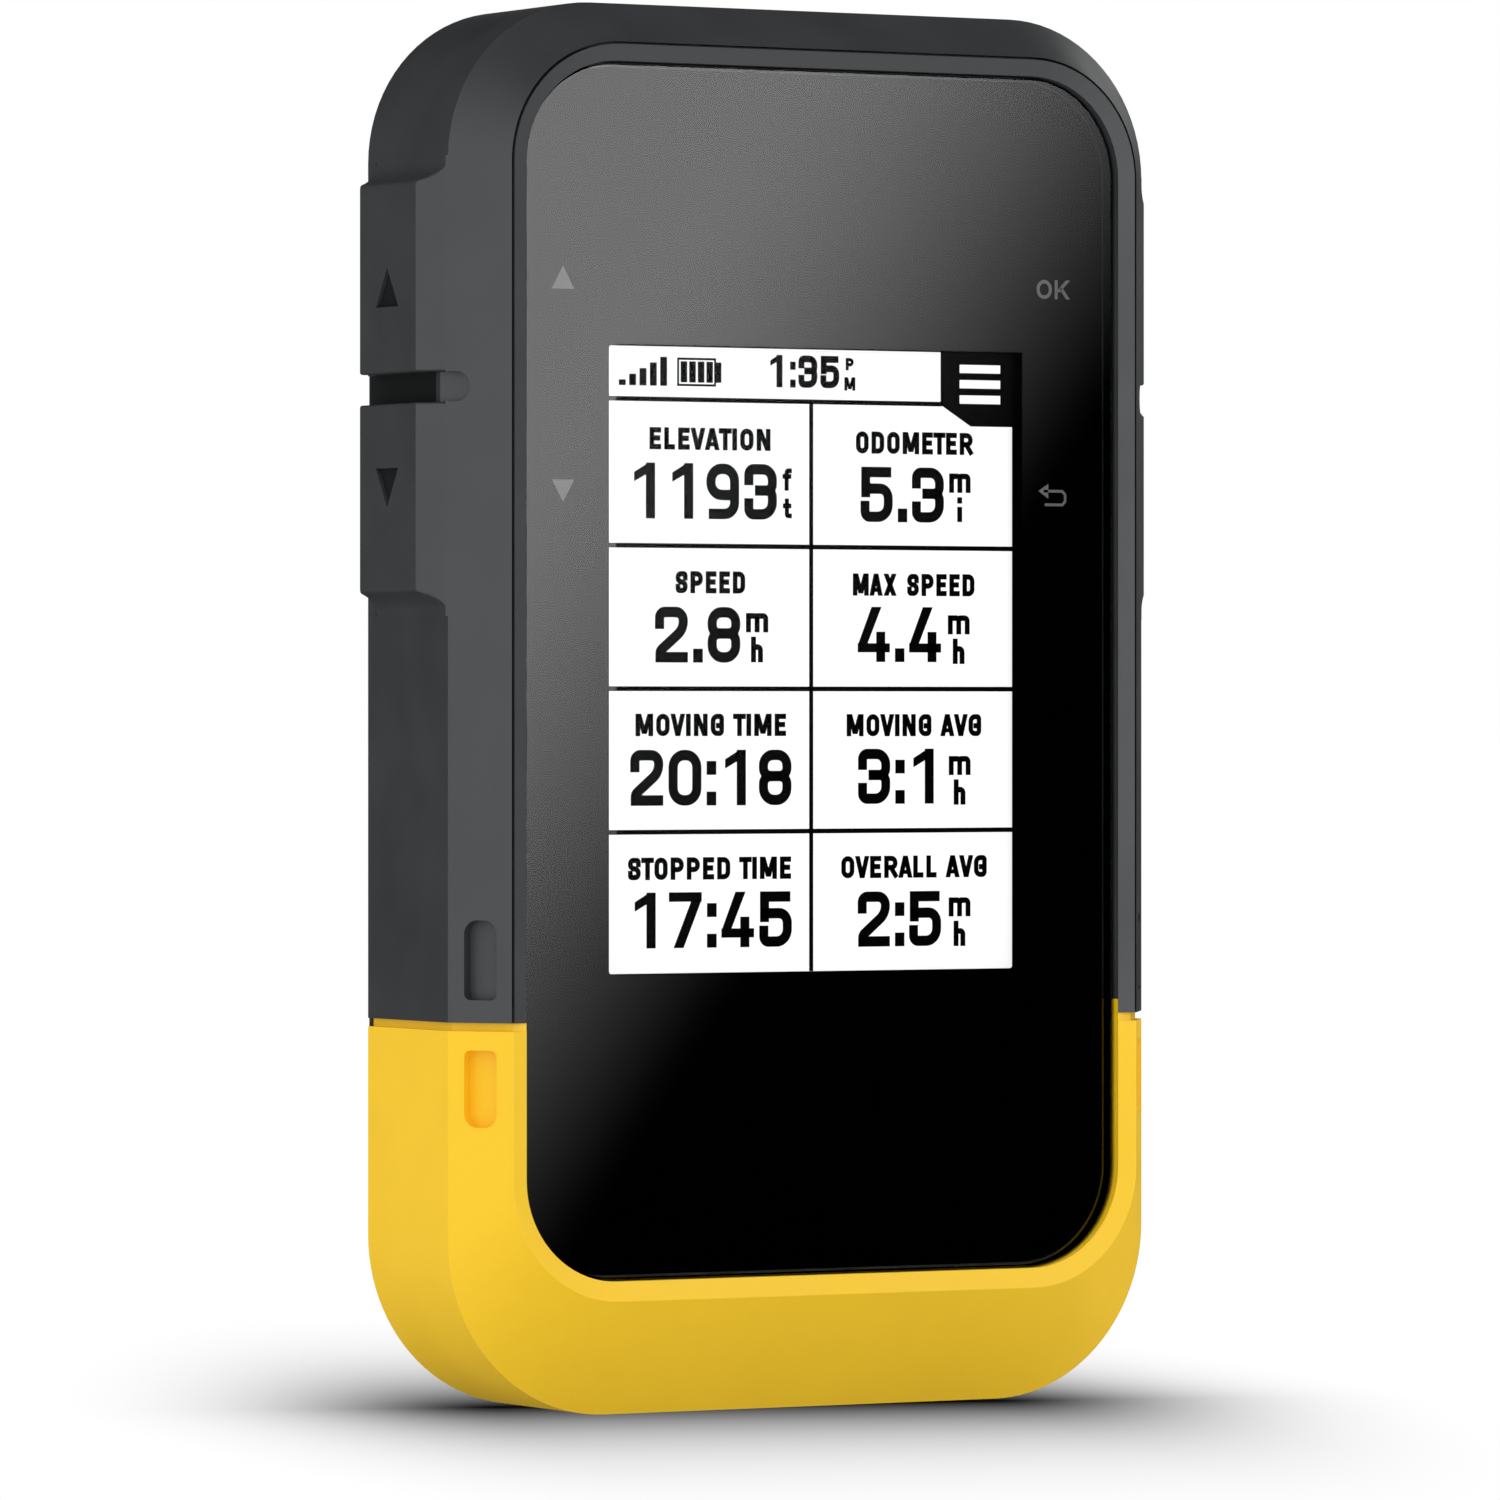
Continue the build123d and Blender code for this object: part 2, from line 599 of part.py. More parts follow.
with BuildPart() as case_screws:
    for x, z in CASE_SCREWS:
        disc(x, z, 1.9, 4.0, 5.4)
        disc(x, z, 0.96, -5.5, 4.0)
        disc(x, z, 0.7, 4.7, 5.4, Mode.SUBTRACT)
save(case_screws, "case_screws")

# ---- Rear connector -------------------------------------------------------------------------
with BuildPart() as usb_board:
    block(-7, 7, 0, 10.1, 83.0, 83.8)
save(usb_board, "usb_board")

with BuildPart() as usb_socket:
    block(-3.9, 3.9, 2, 11.0, 83.8, 88.0)
    block(-3.5, 3.5, 4, 11.0, 84.4, 87.6, Mode.SUBTRACT)
    block(-2.6, 2.6, 4, 10.4, 86.0, 86.7)
save(usb_socket, "usb_socket")

with BuildPart() as usb_flex:
    block(-6, 6, BOARD_BACK, 0, 95.3, 95.5)
    block(-6, 6, -0.2, 0, 83.0, 95.3)
save(usb_flex, "usb_flex")

with BuildPart() as port_cap:
    slab(outline(CAP_HALF, CAP_LOW, CAP_PIVOT_Z, 1.3, 0.3), CAP_INNER, BACK_Y)
    with BuildSketch(Plane.YZ.offset(-CAP_HALF)):
        with Locations((CAP_PIVOT_Y, CAP_PIVOT_Z)):
            Circle(0.7)
    extrude(amount=2 * CAP_HALF)
    block(-4.4, 4.4, 11.4, CAP_INNER, 84.6, 88.5)
save(port_cap, "port_cap")

# ---- Batteries and contacts -----------------------------------------------------------------
def battery(x, nub_up):
    """One AA cell: can, end shoulder and raised positive button."""
    low = BAY_HIGH - 0.4 - NUB_LENGTH - CELL_LENGTH if nub_up else BAY_LOW + 0.4 + NUB_LENGTH
    with BuildPart() as cell:
        with BuildSketch(Plane.XY.offset(low)):
            with Locations((x, CELL_Y)):
                Circle(CELL_RADIUS)
        extrude(amount=CELL_LENGTH)
        fillet(cell.edges().filter_by(GeomType.CIRCLE), 0.5)
        nub_z = low + CELL_LENGTH if nub_up else low - NUB_LENGTH
        with BuildSketch(Plane.XY.offset(nub_z)):
            with Locations((x, CELL_Y)):
                Circle(2.7)
        extrude(amount=NUB_LENGTH)
    return cell


save(battery(-CELL_X, True), "left_battery")
save(battery(CELL_X, False), "right_battery")

with BuildPart() as lower_contact:
    block(-13, 13, -0.5, 9.5, BAY_LOW, BAY_LOW + 0.4)
save(lower_contact, "lower_contact")

with BuildPart() as upper_contacts:
    block(-13, -1.5, -0.5, 9.5, BAY_HIGH - 0.4, BAY_HIGH)
    block(1.5, 13, -0.5, 9.5, BAY_HIGH - 0.4, BAY_HIGH)
save(upper_contacts, "upper_contacts")

SPRING_WIRE = 0.35
SPRING_RADIUS = 3.2
SPRING_PITCH = 1.3
SPRING_HEIGHT = 4.3


def coil(x, base):
    """Contact spring standing on base."""
    with BuildPart() as spring:
        with BuildLine() as path:
            Helix(SPRING_PITCH, SPRING_HEIGHT, SPRING_RADIUS, center=(x, CELL_Y, base))
        with BuildSketch(Plane(origin=path.line @ 0, z_dir=path.line % 0)):
            Circle(SPRING_WIRE)
        sweep(is_frenet=True)
    return spring.part


left_spring = coil(-CELL_X, BAY_LOW + 0.4 + SPRING_WIRE)
right_spring = coil(CELL_X, BAY_HIGH - 0.4 - SPRING_WIRE - SPRING_HEIGHT)
with BuildPart() as contact_springs:
    add(left_spring)
    add(right_spring)
save(contact_springs, "contact_springs")

# ---- Battery door, seal, latch --------------------------------------------------------------
with BuildPart() as battery_door:
    slab(outline(DOOR_HALF, DOOR_LOW, DOOR_HIGH, 4.5, 4.5), DOOR_INNER, BACK_Y)
    fillet(battery_door.faces().sort_by(Axis.Y)[-1].edges(), 0.4)
    disc(0, LATCH_Z, 7.25, 10.3, DOOR_INNER)
    disc(0, LATCH_Z, DISH_RADIUS, DISH_FLOOR, BACK_Y, Mode.SUBTRACT)
    disc(0, LATCH_Z, 1.65, 10.3, DISH_FLOOR, Mode.SUBTRACT)
    slab(outline(17.1, 21.0, 79.7, 2, 2), DOOR_INNER, 12.9, Mode.SUBTRACT)
    slab(outline(16.3, 21.8, 78.9, 1.2, 1.2), DOOR_INNER, 12.9)
    for x in (-14.2, 14.2):
        for z in (27, 33, 39, 45, 51, 57, 63, 69, 75):
            with BuildSketch(at_depth(BACK_Y)) as rib:
                with Locations((x, z)):
                    SlotOverall(4.4, 1.4)
            extrude(rib.sketch, amount=0.4, mode=Mode.SUBTRACT)
    for z in (35, 57):
        disc(0, z, 0.8, DOOR_INNER, BACK_Y, Mode.SUBTRACT)
save(battery_door, "battery_door")

with BuildPart() as door_seal:
    slab(outline(17.0, 21.1, 79.6, 1.9, 1.9), 12.1, 12.88)
    slab(outline(16.4, 21.7, 79.0, 1.3, 1.3), 12.1, 12.88, Mode.SUBTRACT)
save(door_seal, "door_seal")

RAIL_LOW = 29.0
RAIL_HIGH = 63.0
RAIL_TOP = 15.5
with BuildPart() as mount_spine:
    slab(outline(2.5, RAIL_LOW, RAIL_HIGH, 2.2, 2.2), BACK_Y, 14.5)
    slab(outline(4.5, RAIL_LOW, RAIL_HIGH, 2.5, 2.5), 14.5, RAIL_TOP)
    for z in (35, 57):
        disc(0, z, 0.7, BACK_Y, 15.0, Mode.SUBTRACT)
save(mount_spine, "mount_spine")

with BuildPart() as spine_screws:
    for z in (35, 57):
        disc(0, z, 1.4, 11.4, DOOR_INNER)
        disc(0, z, 0.68, DOOR_INNER, 14.9)
save(spine_screws, "spine_screws")

with BuildPart() as latch_screw:
    disc(0, LATCH_Z, 3.0, 11.8, 12.2)
    block(-2.6, 2.6, 12.2, 13.65, LATCH_Z - 1.1, LATCH_Z + 1.1)
    disc(0, LATCH_Z, 1.5, 4.6, 11.8)
    with BuildSketch(Plane.YZ.offset(-3)):
        with Locations((RING_Y, LATCH_Z)):
            Circle(0.62)
    extrude(amount=6, mode=Mode.SUBTRACT)
save(latch_screw, "latch_screw")

with BuildPart() as latch_clip:
    disc(0, LATCH_Z, 2.6, 9.6, 10.1)
    disc(0, LATCH_Z, 1.52, 9.6, 10.1, Mode.SUBTRACT)
    block(-0.9, 0.9, 9.6, 10.1, LATCH_Z, LATCH_Z + 3, Mode.SUBTRACT)
save(latch_clip, "latch_clip")

RING_HALF = 4.4
RING_CORNER = 1.0
RING_WIRE = 0.55
ring_corner_mid = RING_HALF - RING_CORNER + RING_CORNER * sin(radians(45))
ring_drop_mid = RING_CORNER - RING_CORNER * cos(radians(45))
with BuildPart() as latch_ring:
    with BuildLine(Plane(origin=(0, RING_Y, LATCH_Z), x_dir=(1, 0, 0), z_dir=(0, -1, 0))) as loop:
        bar_end = RING_HALF - RING_CORNER
        Line((-bar_end, 0), (bar_end, 0))
        ThreePointArc((bar_end, 0), (ring_corner_mid, -ring_drop_mid), (RING_HALF, -RING_CORNER))
        ThreePointArc((RING_HALF, -RING_CORNER), (0, -RING_CORNER - RING_HALF), (-RING_HALF, -RING_CORNER))
        ThreePointArc((-RING_HALF, -RING_CORNER), (-ring_corner_mid, -ring_drop_mid), (-bar_end, 0))
    with BuildSketch(Plane(origin=(0, RING_Y, LATCH_Z), z_dir=(1, 0, 0))):
        Circle(RING_WIRE)
    sweep(path=loop.wires()[0])
save(latch_ring, "latch_ring")
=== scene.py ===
import json
import math

import bpy
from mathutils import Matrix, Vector


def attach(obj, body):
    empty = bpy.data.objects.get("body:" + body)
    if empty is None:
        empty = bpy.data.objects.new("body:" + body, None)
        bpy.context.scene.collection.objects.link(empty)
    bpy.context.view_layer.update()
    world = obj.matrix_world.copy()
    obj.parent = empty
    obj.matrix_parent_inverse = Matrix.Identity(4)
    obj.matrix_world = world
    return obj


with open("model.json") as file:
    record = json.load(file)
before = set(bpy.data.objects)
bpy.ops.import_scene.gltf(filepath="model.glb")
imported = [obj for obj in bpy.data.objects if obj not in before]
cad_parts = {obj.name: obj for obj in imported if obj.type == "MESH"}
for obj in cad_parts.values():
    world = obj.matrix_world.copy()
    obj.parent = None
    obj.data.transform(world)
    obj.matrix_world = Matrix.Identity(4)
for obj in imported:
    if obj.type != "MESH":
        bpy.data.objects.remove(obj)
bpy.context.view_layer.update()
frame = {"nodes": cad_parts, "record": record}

# Lengths below are millimetres in the CAD frame unless they end in _M, and are scaled where they are used.
MM = 0.001
nodes = frame["nodes"]
scene = bpy.context.scene
scene.view_settings.view_transform = "Standard"

# The picture on the screen, its glow, and the anti-glare film over it
SCREEN_FRONT = -12.9
SCREEN_LEFT, SCREEN_RIGHT = -17.11, 16.75
SCREEN_LOW, SCREEN_HIGH = 31.74, 76.89
PAPER = (0.3, 0.3, 0.3)
PAPER_GLOW = 0.82
FILM_EDGE = 0.1
FILM_SHARE = 0.06

# The window
GLASS_IOR = 1.5
GLASS_TINT = (0.97, 0.975, 0.97)
WALL_FACING, FACE_FACING = 0.85, 0.95

# The cells' copper-coloured band
SLEEVE_LOW, SLEEVE_HIGH, SLEEVE_EDGE = 61.0, 90, 0.05
COPPER = (0.55, 0.25, 0.09)

# Noise runs from about NOISE_LOW to NOISE_HIGH
NOISE_LOW, NOISE_HIGH = 0.3, 0.7
GRAIN_HEIGHT_M = 0.00004


# ---- Materials --------------------------------------------------------------------------------
def new_material(name):
    material = bpy.data.materials.new(name)
    material.use_nodes = True
    tree = material.node_tree
    return material, tree, tree.nodes["Principled BSDF"]


def link(tree, source, target):
    tree.links.new(source, target)


def object_noise(tree, scale, detail=3.0, roughness=0.55, stretch=(1, 1, 1)):
    """Noise fixed to the object, with scale in features per metre."""
    place = tree.nodes.new("ShaderNodeTexCoord")
    mapping = tree.nodes.new("ShaderNodeMapping")
    mapping.inputs["Scale"].default_value = stretch
    noise = tree.nodes.new("ShaderNodeTexNoise")
    noise.inputs["Scale"].default_value = scale
    noise.inputs["Detail"].default_value = detail
    noise.inputs["Roughness"].default_value = roughness
    link(tree, place.outputs["Object"], mapping.inputs["Vector"])
    link(tree, mapping.outputs["Vector"], noise.inputs["Vector"])
    return noise.outputs["Fac"]


def ramp(tree, value, low, high, dark, light):
    """Colour that goes from dark to light while value goes from low to high."""
    node = tree.nodes.new("ShaderNodeValToRGB")
    node.color_ramp.elements[0].position = low
    node.color_ramp.elements[1].position = high
    node.color_ramp.elements[0].color = (*dark, 1)
    node.color_ramp.elements[1].color = (*light, 1)
    link(tree, value, node.inputs["Fac"])
    return node.outputs["Color"]


def span(tree, value, low, high):
    """Number from low to high over the range of a noise."""
    node = tree.nodes.new("ShaderNodeMapRange")
    node.inputs["From Min"].default_value = NOISE_LOW
    node.inputs["From Max"].default_value = NOISE_HIGH
    node.inputs["To Min"].default_value = low
    node.inputs["To Max"].default_value = high
    link(tree, value, node.inputs["Value"])
    return node.outputs["Result"]


def surface(
    name, colour, roughness=0.5, metallic=0.0, vary=0.06, mottle=160.0, grain=0.0,
    grain_scale=4200.0, specular=0.5, coat=0.0, stretch=(1, 1, 1),
):
    """Plain finish whose colour and roughness wander a little, with a fine grain."""
    material, tree, shader = new_material(name)
    wander = object_noise(tree, mottle, stretch=stretch)
    dark = tuple(c * (1 - vary) for c in colour)
    light = tuple(min(1, c * (1 + vary)) for c in colour)
    link(tree, ramp(tree, wander, NOISE_LOW, NOISE_HIGH, dark, light), shader.inputs["Base Color"])
    link(tree, span(tree, wander, roughness * 0.9, roughness * 1.1), shader.inputs["Roughness"])
    shader.inputs["Metallic"].default_value = metallic
    shader.inputs["Specular IOR Level"].default_value = specular
    shader.inputs["Coat Weight"].default_value = coat
    if grain:
        bump = tree.nodes.new("ShaderNodeBump")
        bump.inputs["Strength"].default_value = grain
        bump.inputs["Distance"].default_value = GRAIN_HEIGHT_M
        fine = object_noise(tree, grain_scale, detail=2.0, stretch=stretch)
        link(tree, fine, bump.inputs["Height"])
        link(tree, bump.outputs["Normal"], shader.inputs["Normal"])
    return material


def maths(tree, operation, a, b=0):
    """Result of an operation on two values, each a number or an output."""
    node = tree.nodes.new("ShaderNodeMath")
    node.operation = operation
    for k, source in enumerate((a, b)):
        if isinstance(source, (int, float)):
            node.inputs[k].default_value = source
        else:
            link(tree, source, node.inputs[k])
    return node.outputs["Value"]


def choose(tree, choice, no, yes):
    """One of two values, by a yes or no. Each is a number or an output."""
    node = tree.nodes.new("ShaderNodeMapRange")
    for source, target in ((choice, "Value"), (no, "To Min"), (yes, "To Max")):
        if isinstance(source, (int, float)):
            node.inputs[target].default_value = source
        else:
            link(tree, source, node.inputs[target])
    return node.outputs["Result"]


def within(tree, value, low, high, edge):
    """One between low and high, zero outside, with a soft edge."""
    sides = []
    for outside, inside in ((low - edge, low), (high + edge, high)):
        side = tree.nodes.new("ShaderNodeMapRange")
        side.inputs["From Min"].default_value = outside
        side.inputs["From Max"].default_value = inside
        link(tree, value, side.inputs["Value"])
        sides.append(side.outputs["Result"])
    return maths(tree, "MULTIPLY", *sides)


def lens_glass():
    """Clear window: what is behind shows through, and the surface mirrors by its angle.

    Over the screen it has an anti-glare film, which mirrors only a share of that. Its side walls are black,
    like an inked window edge, and so also paint shade into the gap between the window and the rim.
    """
    material, tree, shader = new_material("lens_glass")
    tree.nodes.remove(shader)
    place = tree.nodes.new("ShaderNodeTexCoord")
    parts = tree.nodes.new("ShaderNodeSeparateXYZ")
    link(tree, place.outputs["Object"], parts.inputs["Vector"])
    facing = tree.nodes.new("ShaderNodeSeparateXYZ")
    link(tree, place.outputs["Normal"], facing.inputs["Vector"])

    clear = tree.nodes.new("ShaderNodeBsdfTransparent")
    # Black side walls: partly an inked edge, partly painted shade in the gap round the window
    straight = maths(tree, "ABSOLUTE", facing.outputs["Y"])
    flat = ramp(tree, straight, WALL_FACING, FACE_FACING, (0, 0, 0), GLASS_TINT)
    link(tree, flat, clear.inputs["Color"])

    mirror = tree.nodes.new("ShaderNodeBsdfGlossy")
    mirror.inputs["Roughness"].default_value = 0.0
    smear = ramp(tree, object_noise(tree, 45.0), NOISE_LOW, NOISE_HIGH, (0.95, 0.95, 0.95), (1, 1, 1))
    link(tree, smear, mirror.inputs["Color"])
    angle = tree.nodes.new("ShaderNodeFresnel")
    angle.inputs["IOR"].default_value = GLASS_IOR
    across = within(tree, parts.outputs["X"], SCREEN_LEFT * MM, SCREEN_RIGHT * MM, FILM_EDGE * MM)
    up = within(tree, parts.outputs["Z"], SCREEN_LOW * MM, SCREEN_HIGH * MM, FILM_EDGE * MM)
    keep = tree.nodes.new("ShaderNodeMapRange")
    keep.inputs["To Min"].default_value = 1.0
    keep.inputs["To Max"].default_value = FILM_SHARE
    link(tree, maths(tree, "MULTIPLY", across, up), keep.inputs["Value"])
    share = maths(tree, "MULTIPLY", angle.outputs["Fac"], keep.outputs["Result"])

    mix = tree.nodes.new("ShaderNodeMixShader")
    link(tree, maths(tree, "MULTIPLY", share, flat), mix.inputs["Fac"])
    link(tree, clear.outputs["BSDF"], mix.inputs[1])
    link(tree, mirror.outputs["BSDF"], mix.inputs[2])
    link(tree, mix.outputs["Shader"], tree.nodes["Material Output"].inputs["Surface"])
    return material


def lit_paper(name, roughness):
    """White of a transflective screen with its backlight on."""
    material = surface(name, PAPER, roughness, vary=0.01)
    shader = material.node_tree.nodes["Principled BSDF"]
    shader.inputs["Emission Color"].default_value = (1, 1, 1, 1)
    shader.inputs["Emission Strength"].default_value = PAPER_GLOW
    return material


def battery_sleeve():
    """Printed sleeve: dark along the cell, with a copper-coloured band towards its upper end."""
    material = surface("battery_sleeve", (0.05, 0.055, 0.06), 0.3, vary=0.1, coat=0.3)
    tree = material.node_tree
    shader = tree.nodes["Principled BSDF"]
    plain = shader.inputs["Base Color"].links[0].from_socket
    place = tree.nodes.new("ShaderNodeTexCoord")
    parts = tree.nodes.new("ShaderNodeSeparateXYZ")
    link(tree, place.outputs["Object"], parts.inputs["Vector"])
    band = within(tree, parts.outputs["Z"], SLEEVE_LOW * MM, SLEEVE_HIGH * MM, SLEEVE_EDGE * MM)
    mix = tree.nodes.new("ShaderNodeMix")
    mix.data_type = "RGBA"
    link(tree, band, mix.inputs["Factor"])
    link(tree, plain, mix.inputs[6])
    mix.inputs[7].default_value = (*COPPER, 1)
    link(tree, mix.outputs[2], shader.inputs["Base Color"])
    return material


DARK = (0.0315, 0.034, 0.036)
YELLOW = (0.99, 0.61, 0.013)
finishes = {
    "dark_plastic": surface("dark_plastic", DARK, 0.52, grain=0.35, vary=0.05),
    "dark_rubber": surface("dark_rubber", DARK, 0.55, grain=0.3, vary=0.05, grain_scale=5200),
    "yellow_plastic": surface("yellow_plastic", YELLOW, 0.5, grain=0.3, vary=0.015, specular=0.35),
    "lens": lens_glass(),
    "ink": surface("black_ink", (0.0006, 0.0006, 0.0006), 0.4, vary=0.2, specular=0.0),
    "foam": surface("black_foam", (0.02, 0.02, 0.02), 0.9, grain=0.5, grain_scale=1800),
    "silicone": surface("grey_silicone", (0.11, 0.11, 0.12), 0.6, grain=0.15),
    "screen_glass": lit_paper("lit_screen", 0.45),
    "white_plastic": surface("white_plastic", (0.78, 0.78, 0.76), 0.4, vary=0.02, grain=0.1),
    "clear_plastic": surface("light_guide_plastic", (0.85, 0.88, 0.9), 0.15, vary=0.02),
    "flex": surface("polyimide", (0.42, 0.18, 0.03), 0.35, vary=0.12, mottle=500),
    "circuit_board": surface("solder_mask", (0.015, 0.10, 0.04), 0.35, vary=0.35, mottle=700, grain=0.3,
                             grain_scale=1500, stretch=(1, 1, 0.2)),
    "chip_plastic": surface("moulded_epoxy", (0.02, 0.02, 0.022), 0.55, grain=0.4),
    "ceramic": surface("fired_ceramic", (0.55, 0.45, 0.33), 0.6, vary=0.08, grain=0.3),
    "steel": surface("plated_steel", (0.58, 0.58, 0.57), 0.3, metallic=1.0, vary=0.1, grain=0.2,
                     grain_scale=1500, stretch=(1, 1, 12)),
    "brass": surface("turned_brass", (0.68, 0.47, 0.18), 0.3, metallic=1.0, vary=0.1, grain=0.2),
    "battery_can": battery_sleeve(),
}
for part in frame["record"]["subparts"]:
    node = nodes[part["node"]]
    node.data.materials.clear()
    node.data.materials.append(finishes[part["material_slot"]])

# ---- Marks made of strokes --------------------------------------------------------------------
# A glyph lies in a unit box. Each stroke is a list of (across, up, corner), where corner is the share of
# the glyph's width that rounds the corner there. A True after the points closes the stroke.
R = 0.45
ARC_STEPS = 8
GLYPHS = {
    "0": [([(0, 0, R), (1, 0, R), (1, 1, R), (0, 1, R)], True)],
    "2": [([(0, 0.74, 0), (0, 1, R), (1, 1, R), (1, 0.62, 0.3), (0.02, 0.14, 0.1), (0.02, 0, 0),
            (1, 0, 0)], False)],
    "3": [
        ([(0, 0.76, 0), (0, 1, R), (1, 1, R), (1, 0.53, 0.25), (0.45, 0.53, 0)], False),
        ([(0.45, 0.53, 0), (1, 0.53, 0.25), (1, 0, R), (0, 0, R), (0, 0.24, 0)], False),
    ],
    "5": [
        ([(0.94, 1, 0), (0.03, 1, 0), (0.03, 0.55, 0)], False),
        ([(0.03, 0.63, 0), (0.3, 0.63, 0), (1, 0.63, R), (1, 0, R), (0, 0, R), (0, 0.24, 0)], False),
    ],
    "8": [
        ([(0, 0.53, 0.3), (1, 0.53, 0.3), (1, 1, R), (0, 1, R)], True),
        ([(0, 0, R), (1, 0, R), (1, 0.53, 0.3), (0, 0.53, 0.3)], True),
    ],
    "9": [
        ([(0, 0.42, R), (1, 0.42, 0), (1, 1, R), (0, 1, R)], True),
        ([(1, 0.5, 0), (1, 0, R), (0.1, 0, 0)], False),
    ],
    "D": [([(0, 0, 0), (1, 0, 0.55), (1, 1, 0.55), (0, 1, 0)], True)],
    "E": [([(1, 0, 0), (0, 0, 0), (0, 1, 0), (1, 1, 0)], False), ([(0.1, 0.52, 0), (0.86, 0.52, 0)], False)],
    "G": [([(1, 0.74, 0), (1, 1, 0.5), (0, 1, 0.5), (0, 0, 0.5), (1, 0, 0.3), (1, 0.46, 0),
            (0.6, 0.46, 0)], False)],
    "L": [([(0, 1, 0), (0, 0, 0), (1, 0, 0)], False)],
    "O": [([(0, 0, 0.5), (1, 0, 0.5), (1, 1, 0.5), (0, 1, 0.5)], True)],
    "P": [([(0, 0, 0), (0, 1, 0), (1, 1, 0.5), (1, 0.44, 0.5), (0.1, 0.44, 0)], False)],
    "R": [
        ([(0, 0, 0), (0, 1, 0), (1, 1, 0.5), (1, 0.46, 0.5), (0.1, 0.46, 0)], False),
        ([(0.55, 0.42, 0), (1.02, 0, 0)], False),
    ],
    "S": [([(1, 0.76, 0), (1, 1, 0.5), (0, 1, 0.5), (0, 0.58, 0.35), (1, 0.44, 0.35), (1, 0, 0.5),
            (0, 0, 0.5), (0, 0.24, 0)], False)],
    "T": [([(0, 1, 0), (1, 1, 0)], False), ([(0.5, 0.95, 0), (0.5, 0, 0)], False)],
    "m": [
        ([(0, 0, 0), (0, 1, 0)], False),
        ([(0, 0.7, 0), (0, 1, 0.15), (0.5, 1, 0.15), (0.5, 0, 0)], False),
        ([(0.5, 0.7, 0), (0.5, 1, 0.15), (1, 1, 0.15), (1, 0, 0)], False),
    ],
    "h": [([(0, 0, 0), (0, 1, 0)], False), ([(0, 0.4, 0), (0, 0.62, 0.3), (1, 0.62, 0.4), (1, 0, 0)], False)],
    "i": [([(0.5, 0, 0), (0.5, 0.5, 0)], False), ([(0.5, 0.97, 0), (0.5, 1.0, 0)], False)],
    "f": [([(0.4, 0, 0), (0.4, 1, 0.4), (1, 1, 0)], False), ([(0, 0.68, 0), (0.9, 0.68, 0)], False)],
    "t": [([(0.4, 1.05, 0), (0.4, 0, 0.4), (1, 0, 0)], False), ([(0, 0.7, 0), (0.9, 0.7, 0)], False)],
}
# Letters with slanted strokes, as flat-ended legs from (across, up) to (across, up), where across runs over
# the ink's full width and a leg's own width is kept inside it.
LEGS = {
    "A": [((0, 0), (0.5, 1)), ((1, 0), (0.5, 1))],
    "K": [((0, 0), (0, 1)), ((0.1, 0.36), (1, 1)), ((1, 0), (0.36, 0.6))],
    "M": [((0, 0), (0, 1)), ((1, 0), (1, 1)), ((0.5, 0.1), (0.04, 1)), ((0.5, 0.1), (0.96, 1))],
    "N": [((0, 0), (0, 1)), ((1, 0), (1, 1)), ((1, 0), (0, 1))],
    "V": [((0.5, 0), (0, 1)), ((0.5, 0), (1, 1))],
    "X": [((0, 0), (1, 1)), ((1, 0), (0, 1))],
    "1": [((1, 0), (1, 1))],
    "4": [((0.8, 0), (0.8, 0.55))],
    "7": [((0.2, 0), (1, 0.86))],
}
# Further flat pieces of the same letters, as outlines over the same box.
PIECES = {
    "A": [[(0.2, 0.17), (0.8, 0.17), (0.72, 0.36), (0.28, 0.36)]],
    "1": [[(0, 0.66), (0.7, 0.82), (0.7, 1), (0, 0.83)]],
    "4": [[(0.43, 1), (0.74, 1), (0.31, 0.34), (0, 0.3)], [(0, 0.175), (1, 0.175), (1, 0.34), (0, 0.34)]],
    "7": [[(0, 0.83), (1, 0.83), (1, 1), (0, 1)]],
}
# Letter widths and the gaps between letters, as shares of the height
WIDTHS = {
    "A": 0.66, "D": 0.58, "E": 0.5, "G": 0.58, "I": 0.21, "L": 0.46, "M": 0.76, "N": 0.6, "O": 0.58,
    "P": 0.58, "R": 0.6, "S": 0.56, "T": 0.56, "V": 0.66, "X": 0.64, " ": 0.24,
}
# A gap is smaller where one or both of its letters are open at the side
OPEN_SIDED = "ATV"
GAP, GAP_ONE, GAP_BOTH = 0.13, 0.02, -0.05
# Figures, as shares of their height: their width and pitch, the cell of a point or colon, and the narrow 1
FIGURE_WIDTH, FIGURE_PITCH, POINT_PITCH = 0.676, 0.783, 0.298
ONE_LEFT, ONE_WIDTH = 0.083, 0.43
DOT_WIDTH, DOT_HEIGHT, COLON_LOW = 0.2, 0.25, 0.55
# A slanted leg's middle line stays LEAN_EDGE half-widths inside the box, and a mitre reaches out at most
# 1 / MITRE_LIMIT half-widths. Points of a path closer than SAME_POINT count as one.
LEAN_EDGE = 1.12
MITRE_LIMIT = 0.45
SAME_POINT = 0.001


def new_object(name, points, faces, material):
    """Mesh object in the scene, from points in metres."""
    mesh = bpy.data.meshes.new(name)
    mesh.from_pydata(points, [], faces)
    mesh.materials.append(material)
    piece = bpy.data.objects.new(name, mesh)
    scene.collection.objects.link(piece)
    return piece


